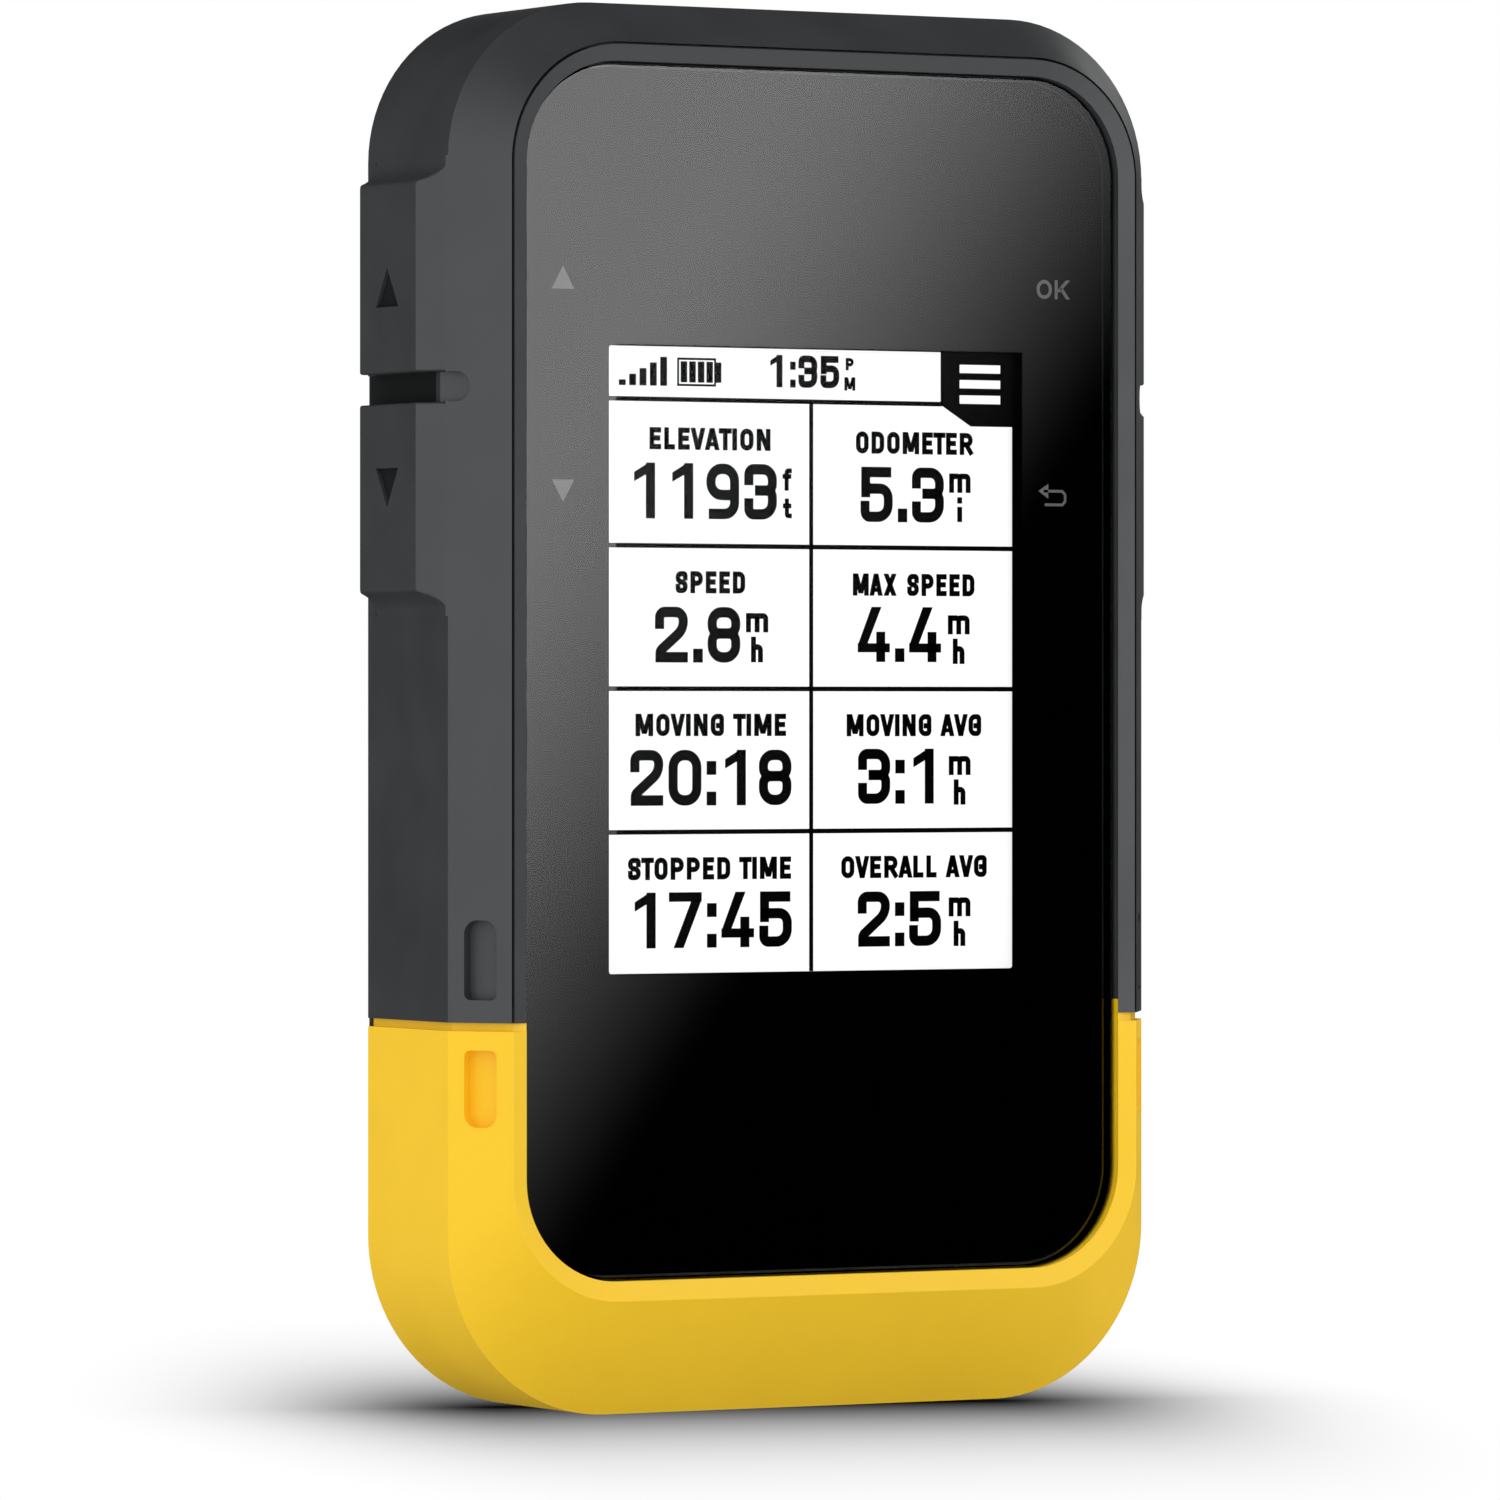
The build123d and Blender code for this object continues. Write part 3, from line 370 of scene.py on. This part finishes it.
class Marks:
    """Flat marks gathered into one mesh at one depth, drawn in X and Z."""

    def __init__(self, name, depth, material):
        self.name, self.depth, self.material = name, depth, material
        self.points, self.faces = [], []

    def polygon(self, corners):
        start = len(self.points)
        self.points += [(x * MM, self.depth * MM, z * MM) for x, z in corners]
        self.faces.append(tuple(range(start, start + len(corners))))

    def bar(self, x0, x1, z0, z1):
        self.polygon([(x0, z0), (x1, z0), (x1, z1), (x0, z1)])

    def stroke(self, path, width, closed):
        """Ribbon of even width along a path, with mitred corners and square ends."""
        points = [Vector(p) for p in path]
        path = [p for k, p in enumerate(points) if not k or (p - points[k - 1]).length > SAME_POINT]
        if closed and (path[0] - path[-1]).length < SAME_POINT:
            path.pop()
        count = len(path)
        if not closed:
            path[0] = path[0] + (path[0] - path[1]).normalized() * width / 2
            path[-1] = path[-1] + (path[-1] - path[-2]).normalized() * width / 2
        sides = []
        for k in range(count):
            before = path[k] - path[k - 1] if closed or k else path[1] - path[0]
            after = path[(k + 1) % count] - path[k] if closed or k < count - 1 else before
            before, after = before.normalized(), after.normalized()
            bisector = (before + after).normalized()
            normal = Vector((-bisector.y, bisector.x))
            reach = width / 2 / max(MITRE_LIMIT, normal.dot(Vector((-before.y, before.x))))
            sides.append((path[k] + normal * reach, path[k] - normal * reach))
        for k in range(count if closed else count - 1):
            a, b = sides[k], sides[(k + 1) % count]
            self.polygon([a[1], b[1], b[0], a[0]])

    def leg(self, foot, head, width):
        """Slanted stroke of a width, whose ends are cut level."""
        (x0, z0), (x1, z1) = foot, head
        half = width / 2 * math.hypot(x1 - x0, z1 - z0) / (z1 - z0)
        self.polygon([(x0 - half, z0), (x0 + half, z0), (x1 + half, z1), (x1 - half, z1)])

    def glyph(self, letter, x0, x1, z0, z1, width):
        """One letter whose ink fills the box."""
        wide, tall = x1 - x0, z1 - z0
        if letter in LEGS:
            for (fx, fz), (hx, hz) in LEGS[letter]:
                edge = width / 2 * (LEAN_EDGE if fx != hx else 1)
                foot = (x0 + edge + fx * (wide - 2 * edge), z0 + fz * tall)
                head = (x0 + edge + hx * (wide - 2 * edge), z0 + hz * tall)
                self.leg(foot, head, width)
            for corners in PIECES.get(letter, []):
                self.polygon([(x0 + px * wide, z0 + pz * tall) for px, pz in corners])
            return
        left, low = x0 + width / 2, z0 + width / 2
        across, up = wide - width, tall - width
        for points, closed in GLYPHS[letter]:
            corners = [(left + gx * across, low + gz * up, r * across) for gx, gz, r in points]
            self.stroke(rounded(corners, closed), width, closed)

    def word(self, text, x0, x1, z0, z1, width):
        """A label that fills the box from side to side."""
        gaps = []
        for a, b in zip(text, text[1:]):
            gaps.append((GAP, GAP_ONE, GAP_BOTH)[(a in OPEN_SIDED) + (b in OPEN_SIDED)])
        gaps.append(0)
        unit = (x1 - x0) / (sum(WIDTHS[c] for c in text) + sum(gaps))
        x = x0
        for c, gap in zip(text, gaps):
            room = WIDTHS[c] * unit
            if c == "I":
                self.bar(x, x + room, z0, z1)
            elif c != " ":
                self.glyph(c, x, x + room, z0, z1, width)
            x += room + gap * unit

    def figures(self, text, x, z, height, width):
        """Numerals on an even pitch, with narrow cells for points and colons."""
        dot, tall = DOT_WIDTH * height, DOT_HEIGHT * height
        for c in text:
            if c in ":.":
                self.bar(x, x + dot, z, z + tall)
                if c == ":":
                    upper = z + COLON_LOW * height
                    self.bar(x, x + dot, upper, upper + tall)
                x += POINT_PITCH * height
                continue
            left, room = (ONE_LEFT, ONE_WIDTH) if c == "1" else (0, FIGURE_WIDTH)
            self.glyph(c, x + left * height, x + (left + room) * height, z, z + height, width)
            x += FIGURE_PITCH * height

    def make(self):
        piece = new_object(self.name, self.points, self.faces, self.material)
        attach(piece, "case")


def rounded(corners, closed):
    """Path through the corners, with an arc at each one that has a radius."""
    path = []
    count = len(corners)
    for k, (x, z, radius) in enumerate(corners):
        here = Vector((x, z))
        if not radius or (not closed and k in (0, count - 1)):
            path.append(here)
            continue
        before = Vector(corners[k - 1][:2]) - here
        after = Vector(corners[(k + 1) % count][:2]) - here
        cut = min(radius, before.length * 0.5, after.length * 0.5)
        start, end = here + before.normalized() * cut, here + after.normalized() * cut
        pull = math.cos((math.pi - before.angle(after)) / 2)
        for step in range(ARC_STEPS + 1):
            t = step / ARC_STEPS
            shares = ((1 - t) ** 2, 2 * pull * t * (1 - t), t * t)
            path.append((start * shares[0] + here * shares[1] + end * shares[2]) / sum(shares))
    return path


# ---- Screen -----------------------------------------------------------------------------------
pixels_on = surface("screen_pixels", (0.002, 0.002, 0.002), 0.6, vary=0.1, specular=0.0)
PRINT_STEP = 0.02
readout = Marks("screen_readout", SCREEN_FRONT - PRINT_STEP, pixels_on)

# Lines between the fields
LINE = 0.34
LINES_LEFT, LINES_RIGHT = SCREEN_LEFT - 0.4, SCREEN_RIGHT + 0.5
STATUS_LINE, FIELD_LINES, MIDDLE_LINE = 73.1, (62.55, 52.24, 41.91), -0.13
TAB_LEFT = 10.8
readout.bar(LINES_LEFT, TAB_LEFT + 0.1, STATUS_LINE - LINE / 2, STATUS_LINE + LINE / 2)
for z in FIELD_LINES:
    readout.bar(LINES_LEFT, LINES_RIGHT, z - LINE / 2, z + LINE / 2)
readout.bar(MIDDLE_LINE - LINE / 2, MIDDLE_LINE + LINE / 2, SCREEN_LOW, STATUS_LINE)

# Menu tab
readout.polygon([(TAB_LEFT, 77.3), (TAB_LEFT, 73.05), (13.36, 71.5), (17.3, 71.5), (17.3, 77.3)])

# Signal strength
for k in range(5):
    x = -16.08 + 0.85 * k
    readout.bar(x, x + 0.57, 74.06, 74.47 + 0.42 * k)

# Battery level: an outline, its contact and four bars
BATTERY_LEFT, BATTERY_RIGHT, BATTERY_LOW, BATTERY_HIGH = -11.28, -8.06, 74.07, 76.12
OUTLINE = 0.16
inset = OUTLINE / 2
readout.stroke(
    [
        (BATTERY_LEFT + inset, BATTERY_LOW + inset),
        (BATTERY_RIGHT - inset, BATTERY_LOW + inset),
        (BATTERY_RIGHT - inset, BATTERY_HIGH - inset),
        (BATTERY_LEFT + inset, BATTERY_HIGH - inset),
    ],
    OUTLINE,
    True,
)
readout.bar(BATTERY_RIGHT, -7.62, 74.35, 75.82)
for k in range(4):
    x = -10.99 + 0.71 * k
    readout.bar(x, x + 0.54, 74.34, 75.86)

# Time, field names, figures and units
readout.figures("1:35", -3.74, 74.11, 2.35, 0.5)
readout.glyph("P", 2.77, 3.44, 75.44, 76.34, 0.25)
readout.glyph("M", 2.66, 3.58, 73.97, 74.94, 0.25)
LABEL_STROKE = 0.39
for label, x0, x1, z0, z1 in (
    ("ELEVATION", -13.56, -3.53, 69.48, 71.08),
    ("ODOMETER", 3.63, 13.54, 69.4, 71.02),
    ("SPEED", -11.41, -5.64, 59.13, 60.73),
    ("MAX SPEED", 3.37, 13.69, 59.04, 60.66),
    ("MOVING TIME", -14.71, -2.23, 48.82, 50.44),
    ("MOVING AVG", 2.85, 14.27, 48.79, 50.41),
    ("STOPPED TIME", -15.33, -1.81, 38.46, 40.08),
    ("OVERALL AVG", 2.4, 14.74, 38.45, 40.07),
):
    readout.word(label, x0, x1, z0, z1, LABEL_STROKE)
FIGURE, FIGURE_STROKE = 4.02, 0.76
for text, x, z in (
    ("1193", -15.16, 64.5), ("5.3", 4.02, 64.42), ("2.8", -13.11, 54.13), ("4.4", 3.78, 54.21),
    ("20:18", -15.14, 43.81), ("3:1", 3.81, 43.86), ("17:45", -15.11, 33.54), ("2:5", 3.78, 33.45),
):
    readout.figures(text, x, z, FIGURE, FIGURE_STROKE)
FEET_STROKE, UNIT_STROKE = 0.35, 0.42
readout.glyph("f", -2.53, -1.75, 66.62, 68.24, FEET_STROKE)
readout.glyph("t", -2.5, -1.75, 64.62, 66.0, FEET_STROKE)
readout.glyph("m", 11.53, 13.36, 66.62, 68.04, UNIT_STROKE)
readout.glyph("i", 12.19, 12.67, 64.48, 66.3, UNIT_STROKE)
for x, z in ((-5.58, 54.16), (11.42, 54.08), (11.5, 43.77), (11.49, 33.41)):
    readout.glyph("m", x, x + 1.86, z + 2.17, z + 3.57, UNIT_STROKE)
    readout.glyph("h", x + 0.42, x + 1.42, z, z + 1.86, UNIT_STROKE)
readout.make()

menu = Marks("menu_lines", SCREEN_FRONT - 2 * PRINT_STEP, lit_paper("screen_paper", 0.5))
for z0, z1 in ((75.41, 76.02), (74.29, 74.9), (73.16, 73.78)):
    menu.bar(12.41, 15.88, z0, z1)
menu.make()

# ---- Keys: dark plates of painted shade on the floors of the sunk marks and of the groove, and webs over the seams ---
HALF_WIDTH = 29.1
CREASE_Y, FACET_SLOPE = -11.31, 1.374
KEY_FACE = 30.62
KEY_LOW, KEY_HIGH = 57.4, 90.3
KEY_FRONT, KEY_REAR, KEY_GAP = -11.2, -0.1, 0.03
MARK_DEPTH, MARK_LIFT = 0.3, 0.02
MARK_Y, MARK_HALF, MARK_HEIGHT = -4.8, 1.72, 2.8
UP_LOW, DOWN_LOW = 79.68, 65.26
GROOVE_LOW, GROOVE_HIGH = 72.75, 74.85
GROOVE_FLOOR, GROOVE_FRONT, GROOVE_REAR = 28.96, -9.4, 1.0
WEB_LIFT, WEB_LAP = 0.004, 0.01


def patch(name, body, material, outlines):
    """Thin flat faces fixed to a body, each from its corners in X, Y and Z."""
    points, faces = [], []
    for corners in outlines:
        faces.append(tuple(range(len(points), len(points) + len(corners))))
        points += [tuple(c * MM for c in corner) for corner in corners]
    piece = new_object(name, points, faces, material)
    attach(piece, body)


def upright(x, y0, y1, z0, z1):
    """Corners of an upright rectangle that faces sideways."""
    return [(x, y0, z0), (x, y1, z0), (x, y1, z1), (x, y0, z1)]


def mark_floor(corners):
    """Corners of a dark plate of painted shade just above the floor of a sunk mark on the left side, from Y
    and Z.
    """
    return [(-(KEY_FACE - MARK_DEPTH + MARK_LIFT), y, z) for y, z in corners]


# Dark plates on the floors of the sunk up and down marks paint the shade that falls in these recesses
mark_painted_shade = surface("mark_shade", (0.009, 0.0095, 0.010), 0.7, vary=0.1, grain=0.2, specular=0.1)
mark_front, mark_rear = MARK_Y - MARK_HALF, MARK_Y + MARK_HALF
patch("up_mark_painted_shade", "up_key", mark_painted_shade, [mark_floor([
    (mark_front, UP_LOW), (mark_rear, UP_LOW), (MARK_Y, UP_LOW + MARK_HEIGHT)])])
patch("down_mark_painted_shade", "down_key", mark_painted_shade, [mark_floor([
    (mark_front, DOWN_LOW + MARK_HEIGHT), (MARK_Y, DOWN_LOW), (mark_rear, DOWN_LOW + MARK_HEIGHT)])])

# Dark plates on both groove floors paint the shade that falls in the groove
groove_shade = surface("groove_shade", (0.010, 0.0105, 0.011), 0.7, vary=0.1, grain=0.2, specular=0.1)
patch("groove_painted_shade", "case", groove_shade,
      [upright(side * GROOVE_FLOOR, GROOVE_FRONT, GROOVE_REAR, GROOVE_LOW, GROOVE_HIGH) for side in (-1, 1)])

# Each web lies WEB_LIFT proud of the case and laps WEB_LAP past what it covers. The front webs carry the
# facet's slope on from the crease to the keys, and the others cover the seams at the ends of the key bars.
web_x = HALF_WIDTH + WEB_LIFT
web_front, web_back = CREASE_Y - WEB_LAP, KEY_FRONT + KEY_GAP + WEB_LAP
front_x, back_x = (web_x + (y - CREASE_Y) / FACET_SLOPE for y in (web_front, web_back))
webs = []
for side in (-1, 1):
    for z0, z1 in ((KEY_LOW, GROOVE_LOW), (GROOVE_HIGH, KEY_HIGH)):
        webs.append([(side * front_x, web_front, z0), (side * back_x, web_back, z0),
                     (side * back_x, web_back, z1), (side * front_x, web_front, z1)])
    for z0, z1 in ((KEY_LOW, KEY_LOW + KEY_GAP), (KEY_HIGH - KEY_GAP, KEY_HIGH)):
        webs.append(upright(side * web_x, KEY_FRONT, KEY_REAR, z0 - WEB_LAP, z1 + WEB_LAP))
patch("key_webs", "case", finishes["dark_plastic"], webs)

# ---- Symbols printed on the window beside the keys --------------------------------------------
symbol_ink = surface("symbol_ink", (0.16, 0.16, 0.165), 0.5, vary=0.05)
# Just inside the window's back face, which is at -13.33
SYMBOL_Y = -13.36
OK_STROKE, ARROW_STROKE = 0.26, 0.2
symbols = Marks("window_symbols", SYMBOL_Y, symbol_ink)
# Up and down triangles
symbols.polygon([(-21.8, 80.87), (-19.96, 80.87), (-20.88, 82.52)])
symbols.polygon([(-20.88, 65.61), (-19.96, 67.21), (-21.8, 67.21)])
symbols.glyph("O", 18.76, 20.06, 80.97, 82.37, OK_STROKE)
symbols.glyph("K", 20.31, 21.61, 80.97, 82.37, OK_STROKE)
# Return arrow: a hook and its head
symbols.stroke(
    [(19.56, 65.82), (20.96, 65.82), (21.21, 66.07), (21.21, 66.57), (20.96, 66.82), (19.46, 66.82)],
    ARROW_STROKE,
    False,
)
symbols.polygon([(18.91, 66.82), (19.76, 66.27), (19.76, 67.37)])
symbols.make()

# ---- Stage ------------------------------------------------------------------------------------
# The contact shadow's depth falls with the distance outside a box of SHADOW_HALF, measured in reaches of
# SHADOW_REACH. The box is centred on SHADOW_MIDDLE and turned by SHADOW_TURN, in radians.
FLOOR_M = 12.0
SHADOW_MIDDLE, SHADOW_TURN = (-2.2, -7.2), -0.34
SHADOW_HALF, SHADOW_REACH, SHADOW_POWER = (18.0, 0), (16.6, 36.5), (2.06, 1.26)
# The floor's strength to the eye, and the range of strengths that it lends the object as a light
FLOOR_SEEN = 1.02
FLOOR_LENT_LOW, FLOOR_LENT_HIGH = 0.40, 0.94


def painted_floor():
    """Pale floor that looks the same from everywhere, with a soft contact shadow painted round the base."""
    material = bpy.data.materials.new("floor")
    material.use_nodes = True
    tree = material.node_tree
    tree.nodes.remove(tree.nodes["Principled BSDF"])
    place = tree.nodes.new("ShaderNodeTexCoord")
    turned = tree.nodes.new("ShaderNodeMapping")
    turned.vector_type = "TEXTURE"
    turned.inputs["Location"].default_value = (SHADOW_MIDDLE[0] * MM, SHADOW_MIDDLE[1] * MM, 0)
    turned.inputs["Rotation"].default_value = (0, 0, SHADOW_TURN)
    link(tree, place.outputs["Object"], turned.inputs["Vector"])
    parts = tree.nodes.new("ShaderNodeSeparateXYZ")
    link(tree, turned.outputs["Vector"], parts.inputs["Vector"])
    terms = []
    for axis, half, reach, power in zip("XY", SHADOW_HALF, SHADOW_REACH, SHADOW_POWER):
        outside = maths(tree, "SUBTRACT", maths(tree, "ABSOLUTE", parts.outputs[axis]), half * MM)
        share = maths(tree, "DIVIDE", maths(tree, "MAXIMUM", outside, 0), reach * MM)
        terms.append(maths(tree, "POWER", share, power))
    depth = maths(tree, "EXPONENT", maths(tree, "MULTIPLY", maths(tree, "ADD", *terms), -1))
    light = maths(tree, "SUBTRACT", 1, depth)
    seen = maths(tree, "MULTIPLY", light, FLOOR_SEEN)
    lent = maths(tree, "MULTIPLY", light, FLOOR_LENT_HIGH - FLOOR_LENT_LOW)
    lent = maths(tree, "ADD", lent, FLOOR_LENT_LOW)
    eye = tree.nodes.new("ShaderNodeLightPath")
    glow = tree.nodes.new("ShaderNodeEmission")
    link(tree, choose(tree, eye.outputs["Is Camera Ray"], lent, seen), glow.inputs["Strength"])
    link(tree, glow.outputs["Emission"], tree.nodes["Material Output"].inputs["Surface"])
    return material


floor_corners = [(x * FLOOR_M, y * FLOOR_M, 0) for x, y in ((-1, -1), (1, -1), (1, 1), (-1, 1))]
floor = new_object("floor", floor_corners, [(0, 1, 2, 3)], painted_floor())
floor.visible_glossy = False

# Panel that the window mirrors towards the camera. It is even at its upper left and fades to nothing
# towards its lower right, along PANEL_ALONG in X and Z. Distances along it are from PANEL_START.
PANEL_Y = -914
PANEL_START = (458.7, 165.4)
PANEL_ALONG = (0.809, -0.588)
PANEL_EVEN, PANEL_FADE = 40, 93
PANEL_BACK, PANEL_ON, PANEL_WIDE = 260, 350, 420
PANEL_GLOW = 4.1


def panel_corner(distance, side):
    """Corner of the panel at a distance along its fade and to the side of that."""
    ax, az = PANEL_ALONG
    x = PANEL_START[0] + ax * distance - az * side
    z = PANEL_START[1] + az * distance + ax * side
    return (x * MM, PANEL_Y * MM, z * MM)


def panel_light():
    """Even light that fades to nothing along the panel."""
    material = bpy.data.materials.new("panel")
    material.use_nodes = True
    tree = material.node_tree
    tree.nodes.remove(tree.nodes["Principled BSDF"])
    glow = tree.nodes.new("ShaderNodeEmission")
    place = tree.nodes.new("ShaderNodeTexCoord")
    run = tree.nodes.new("ShaderNodeVectorMath")
    run.operation = "DOT_PRODUCT"
    run.inputs[1].default_value = (PANEL_ALONG[0], 0, PANEL_ALONG[1])
    start = (PANEL_START[0] * PANEL_ALONG[0] + PANEL_START[1] * PANEL_ALONG[1]) * MM
    fade = tree.nodes.new("ShaderNodeMapRange")
    fade.interpolation_type = "SMOOTHSTEP"
    fade.inputs["From Min"].default_value = start + PANEL_EVEN * MM
    fade.inputs["From Max"].default_value = start + (PANEL_EVEN + PANEL_FADE) * MM
    fade.inputs["To Min"].default_value = PANEL_GLOW
    fade.inputs["To Max"].default_value = 0
    link(tree, place.outputs["Object"], run.inputs[0])
    link(tree, run.outputs["Value"], fade.inputs["Value"])
    link(tree, fade.outputs["Result"], glow.inputs["Strength"])
    link(tree, glow.outputs["Emission"], tree.nodes["Material Output"].inputs["Surface"])
    return material


panel_corners = [
    panel_corner(-PANEL_BACK, -PANEL_WIDE),
    panel_corner(PANEL_ON, -PANEL_WIDE),
    panel_corner(PANEL_ON, PANEL_WIDE),
    panel_corner(-PANEL_BACK, PANEL_WIDE),
]
panel = new_object("panel", panel_corners, [(0, 1, 2, 3)], panel_light())
panel.visible_camera = False
panel.visible_diffuse = False

# Room: white to the eye. As a light it is a soft dome, a little brighter in front and to the left.
# What glossy surfaces mirror of it is a broad glow in front and to the left, in a band round the horizon,
# a small one behind and to the right, in a strip above the horizon, and dark elsewhere.
# Each edge is the pair of a ray's shares along UP, or along a glow's side, between which it comes or goes.
UP = (0, 0, 1)
DOME_SIDE, DOME_DIM, DOME_BRIGHT = (-0.45, -0.8, -0.25), 0.78, 1.17
FRONT_SIDE, FRONT_EDGE, FRONT_GLOW = (-0.45, -0.89, 0), (-0.4, 0.95), 2.15
BACK_SIDE, BACK_EDGE, BACK_GLOW = (0.86, 0.51, 0), (0.75, 0.95), 1.6
BAND_FOOT, BAND_TOP = (-0.75, -0.5), (0.3, 0.8)
STRIP_FOOT, STRIP_TOP = (0.08, 0.3), (0.5, 0.9)

world = bpy.data.worlds.new("room")
scene.world = world
world.use_nodes = True
tree = world.node_tree
place = tree.nodes.new("ShaderNodeTexCoord")
eye = tree.nodes.new("ShaderNodeLightPath")


def room_side(direction, edge, dim, bright, smooth=True):
    """Strength that goes from dim to bright while a ray's share along a direction crosses the edge."""
    toward = tree.nodes.new("ShaderNodeVectorMath")
    toward.operation = "DOT_PRODUCT"
    toward.inputs[1].default_value = Vector(direction).normalized()
    link(tree, place.outputs["Generated"], toward.inputs[0])
    node = tree.nodes.new("ShaderNodeMapRange")
    node.interpolation_type = "SMOOTHSTEP" if smooth else "LINEAR"
    node.inputs["From Min"].default_value = edge[0]
    node.inputs["From Max"].default_value = edge[1]
    node.inputs["To Min"].default_value = dim
    node.inputs["To Max"].default_value = bright
    link(tree, toward.outputs["Value"], node.inputs["Value"])
    return node.outputs["Result"]


dome = room_side(DOME_SIDE, (-1, 1), DOME_DIM, DOME_BRIGHT, smooth=False)
band = maths(tree, "MULTIPLY", room_side(UP, BAND_TOP, 1, 0), room_side(UP, BAND_FOOT, 0, 1))
strip = maths(tree, "MULTIPLY", room_side(UP, STRIP_TOP, 1, 0), room_side(UP, STRIP_FOOT, 0, 1))
front = maths(tree, "MULTIPLY", room_side(FRONT_SIDE, FRONT_EDGE, 0, FRONT_GLOW), band)
back = maths(tree, "MULTIPLY", room_side(BACK_SIDE, BACK_EDGE, 0, BACK_GLOW), strip)
light = choose(tree, eye.outputs["Is Glossy Ray"], dome, maths(tree, "ADD", front, back))
strength = choose(tree, eye.outputs["Is Camera Ray"], light, 1.0)
link(tree, strength, tree.nodes["Background"].inputs["Strength"])
tree.nodes["Background"].inputs["Color"].default_value = (1, 1, 1, 1)

# ---- Camera -----------------------------------------------------------------------------------
# Level, with its picture shifted down to take in the whole unit
SENSOR, FOCAL_LENGTH, SHIFT = 36.0, 233.3, -0.0255
CAMERA_M = (-0.3525, -0.6251, 0.05058)
CAMERA_TURN_DEGREES = -29.564
camera_data = bpy.data.cameras.new("camera")
camera_data.sensor_width = SENSOR
camera_data.lens = FOCAL_LENGTH
camera_data.shift_y = SHIFT
camera_data.clip_start = 0.01
camera = bpy.data.objects.new("camera", camera_data)
camera.location = CAMERA_M
camera.rotation_euler = (math.radians(90), 0, math.radians(CAMERA_TURN_DEGREES))
scene.collection.objects.link(camera)
scene.camera = camera
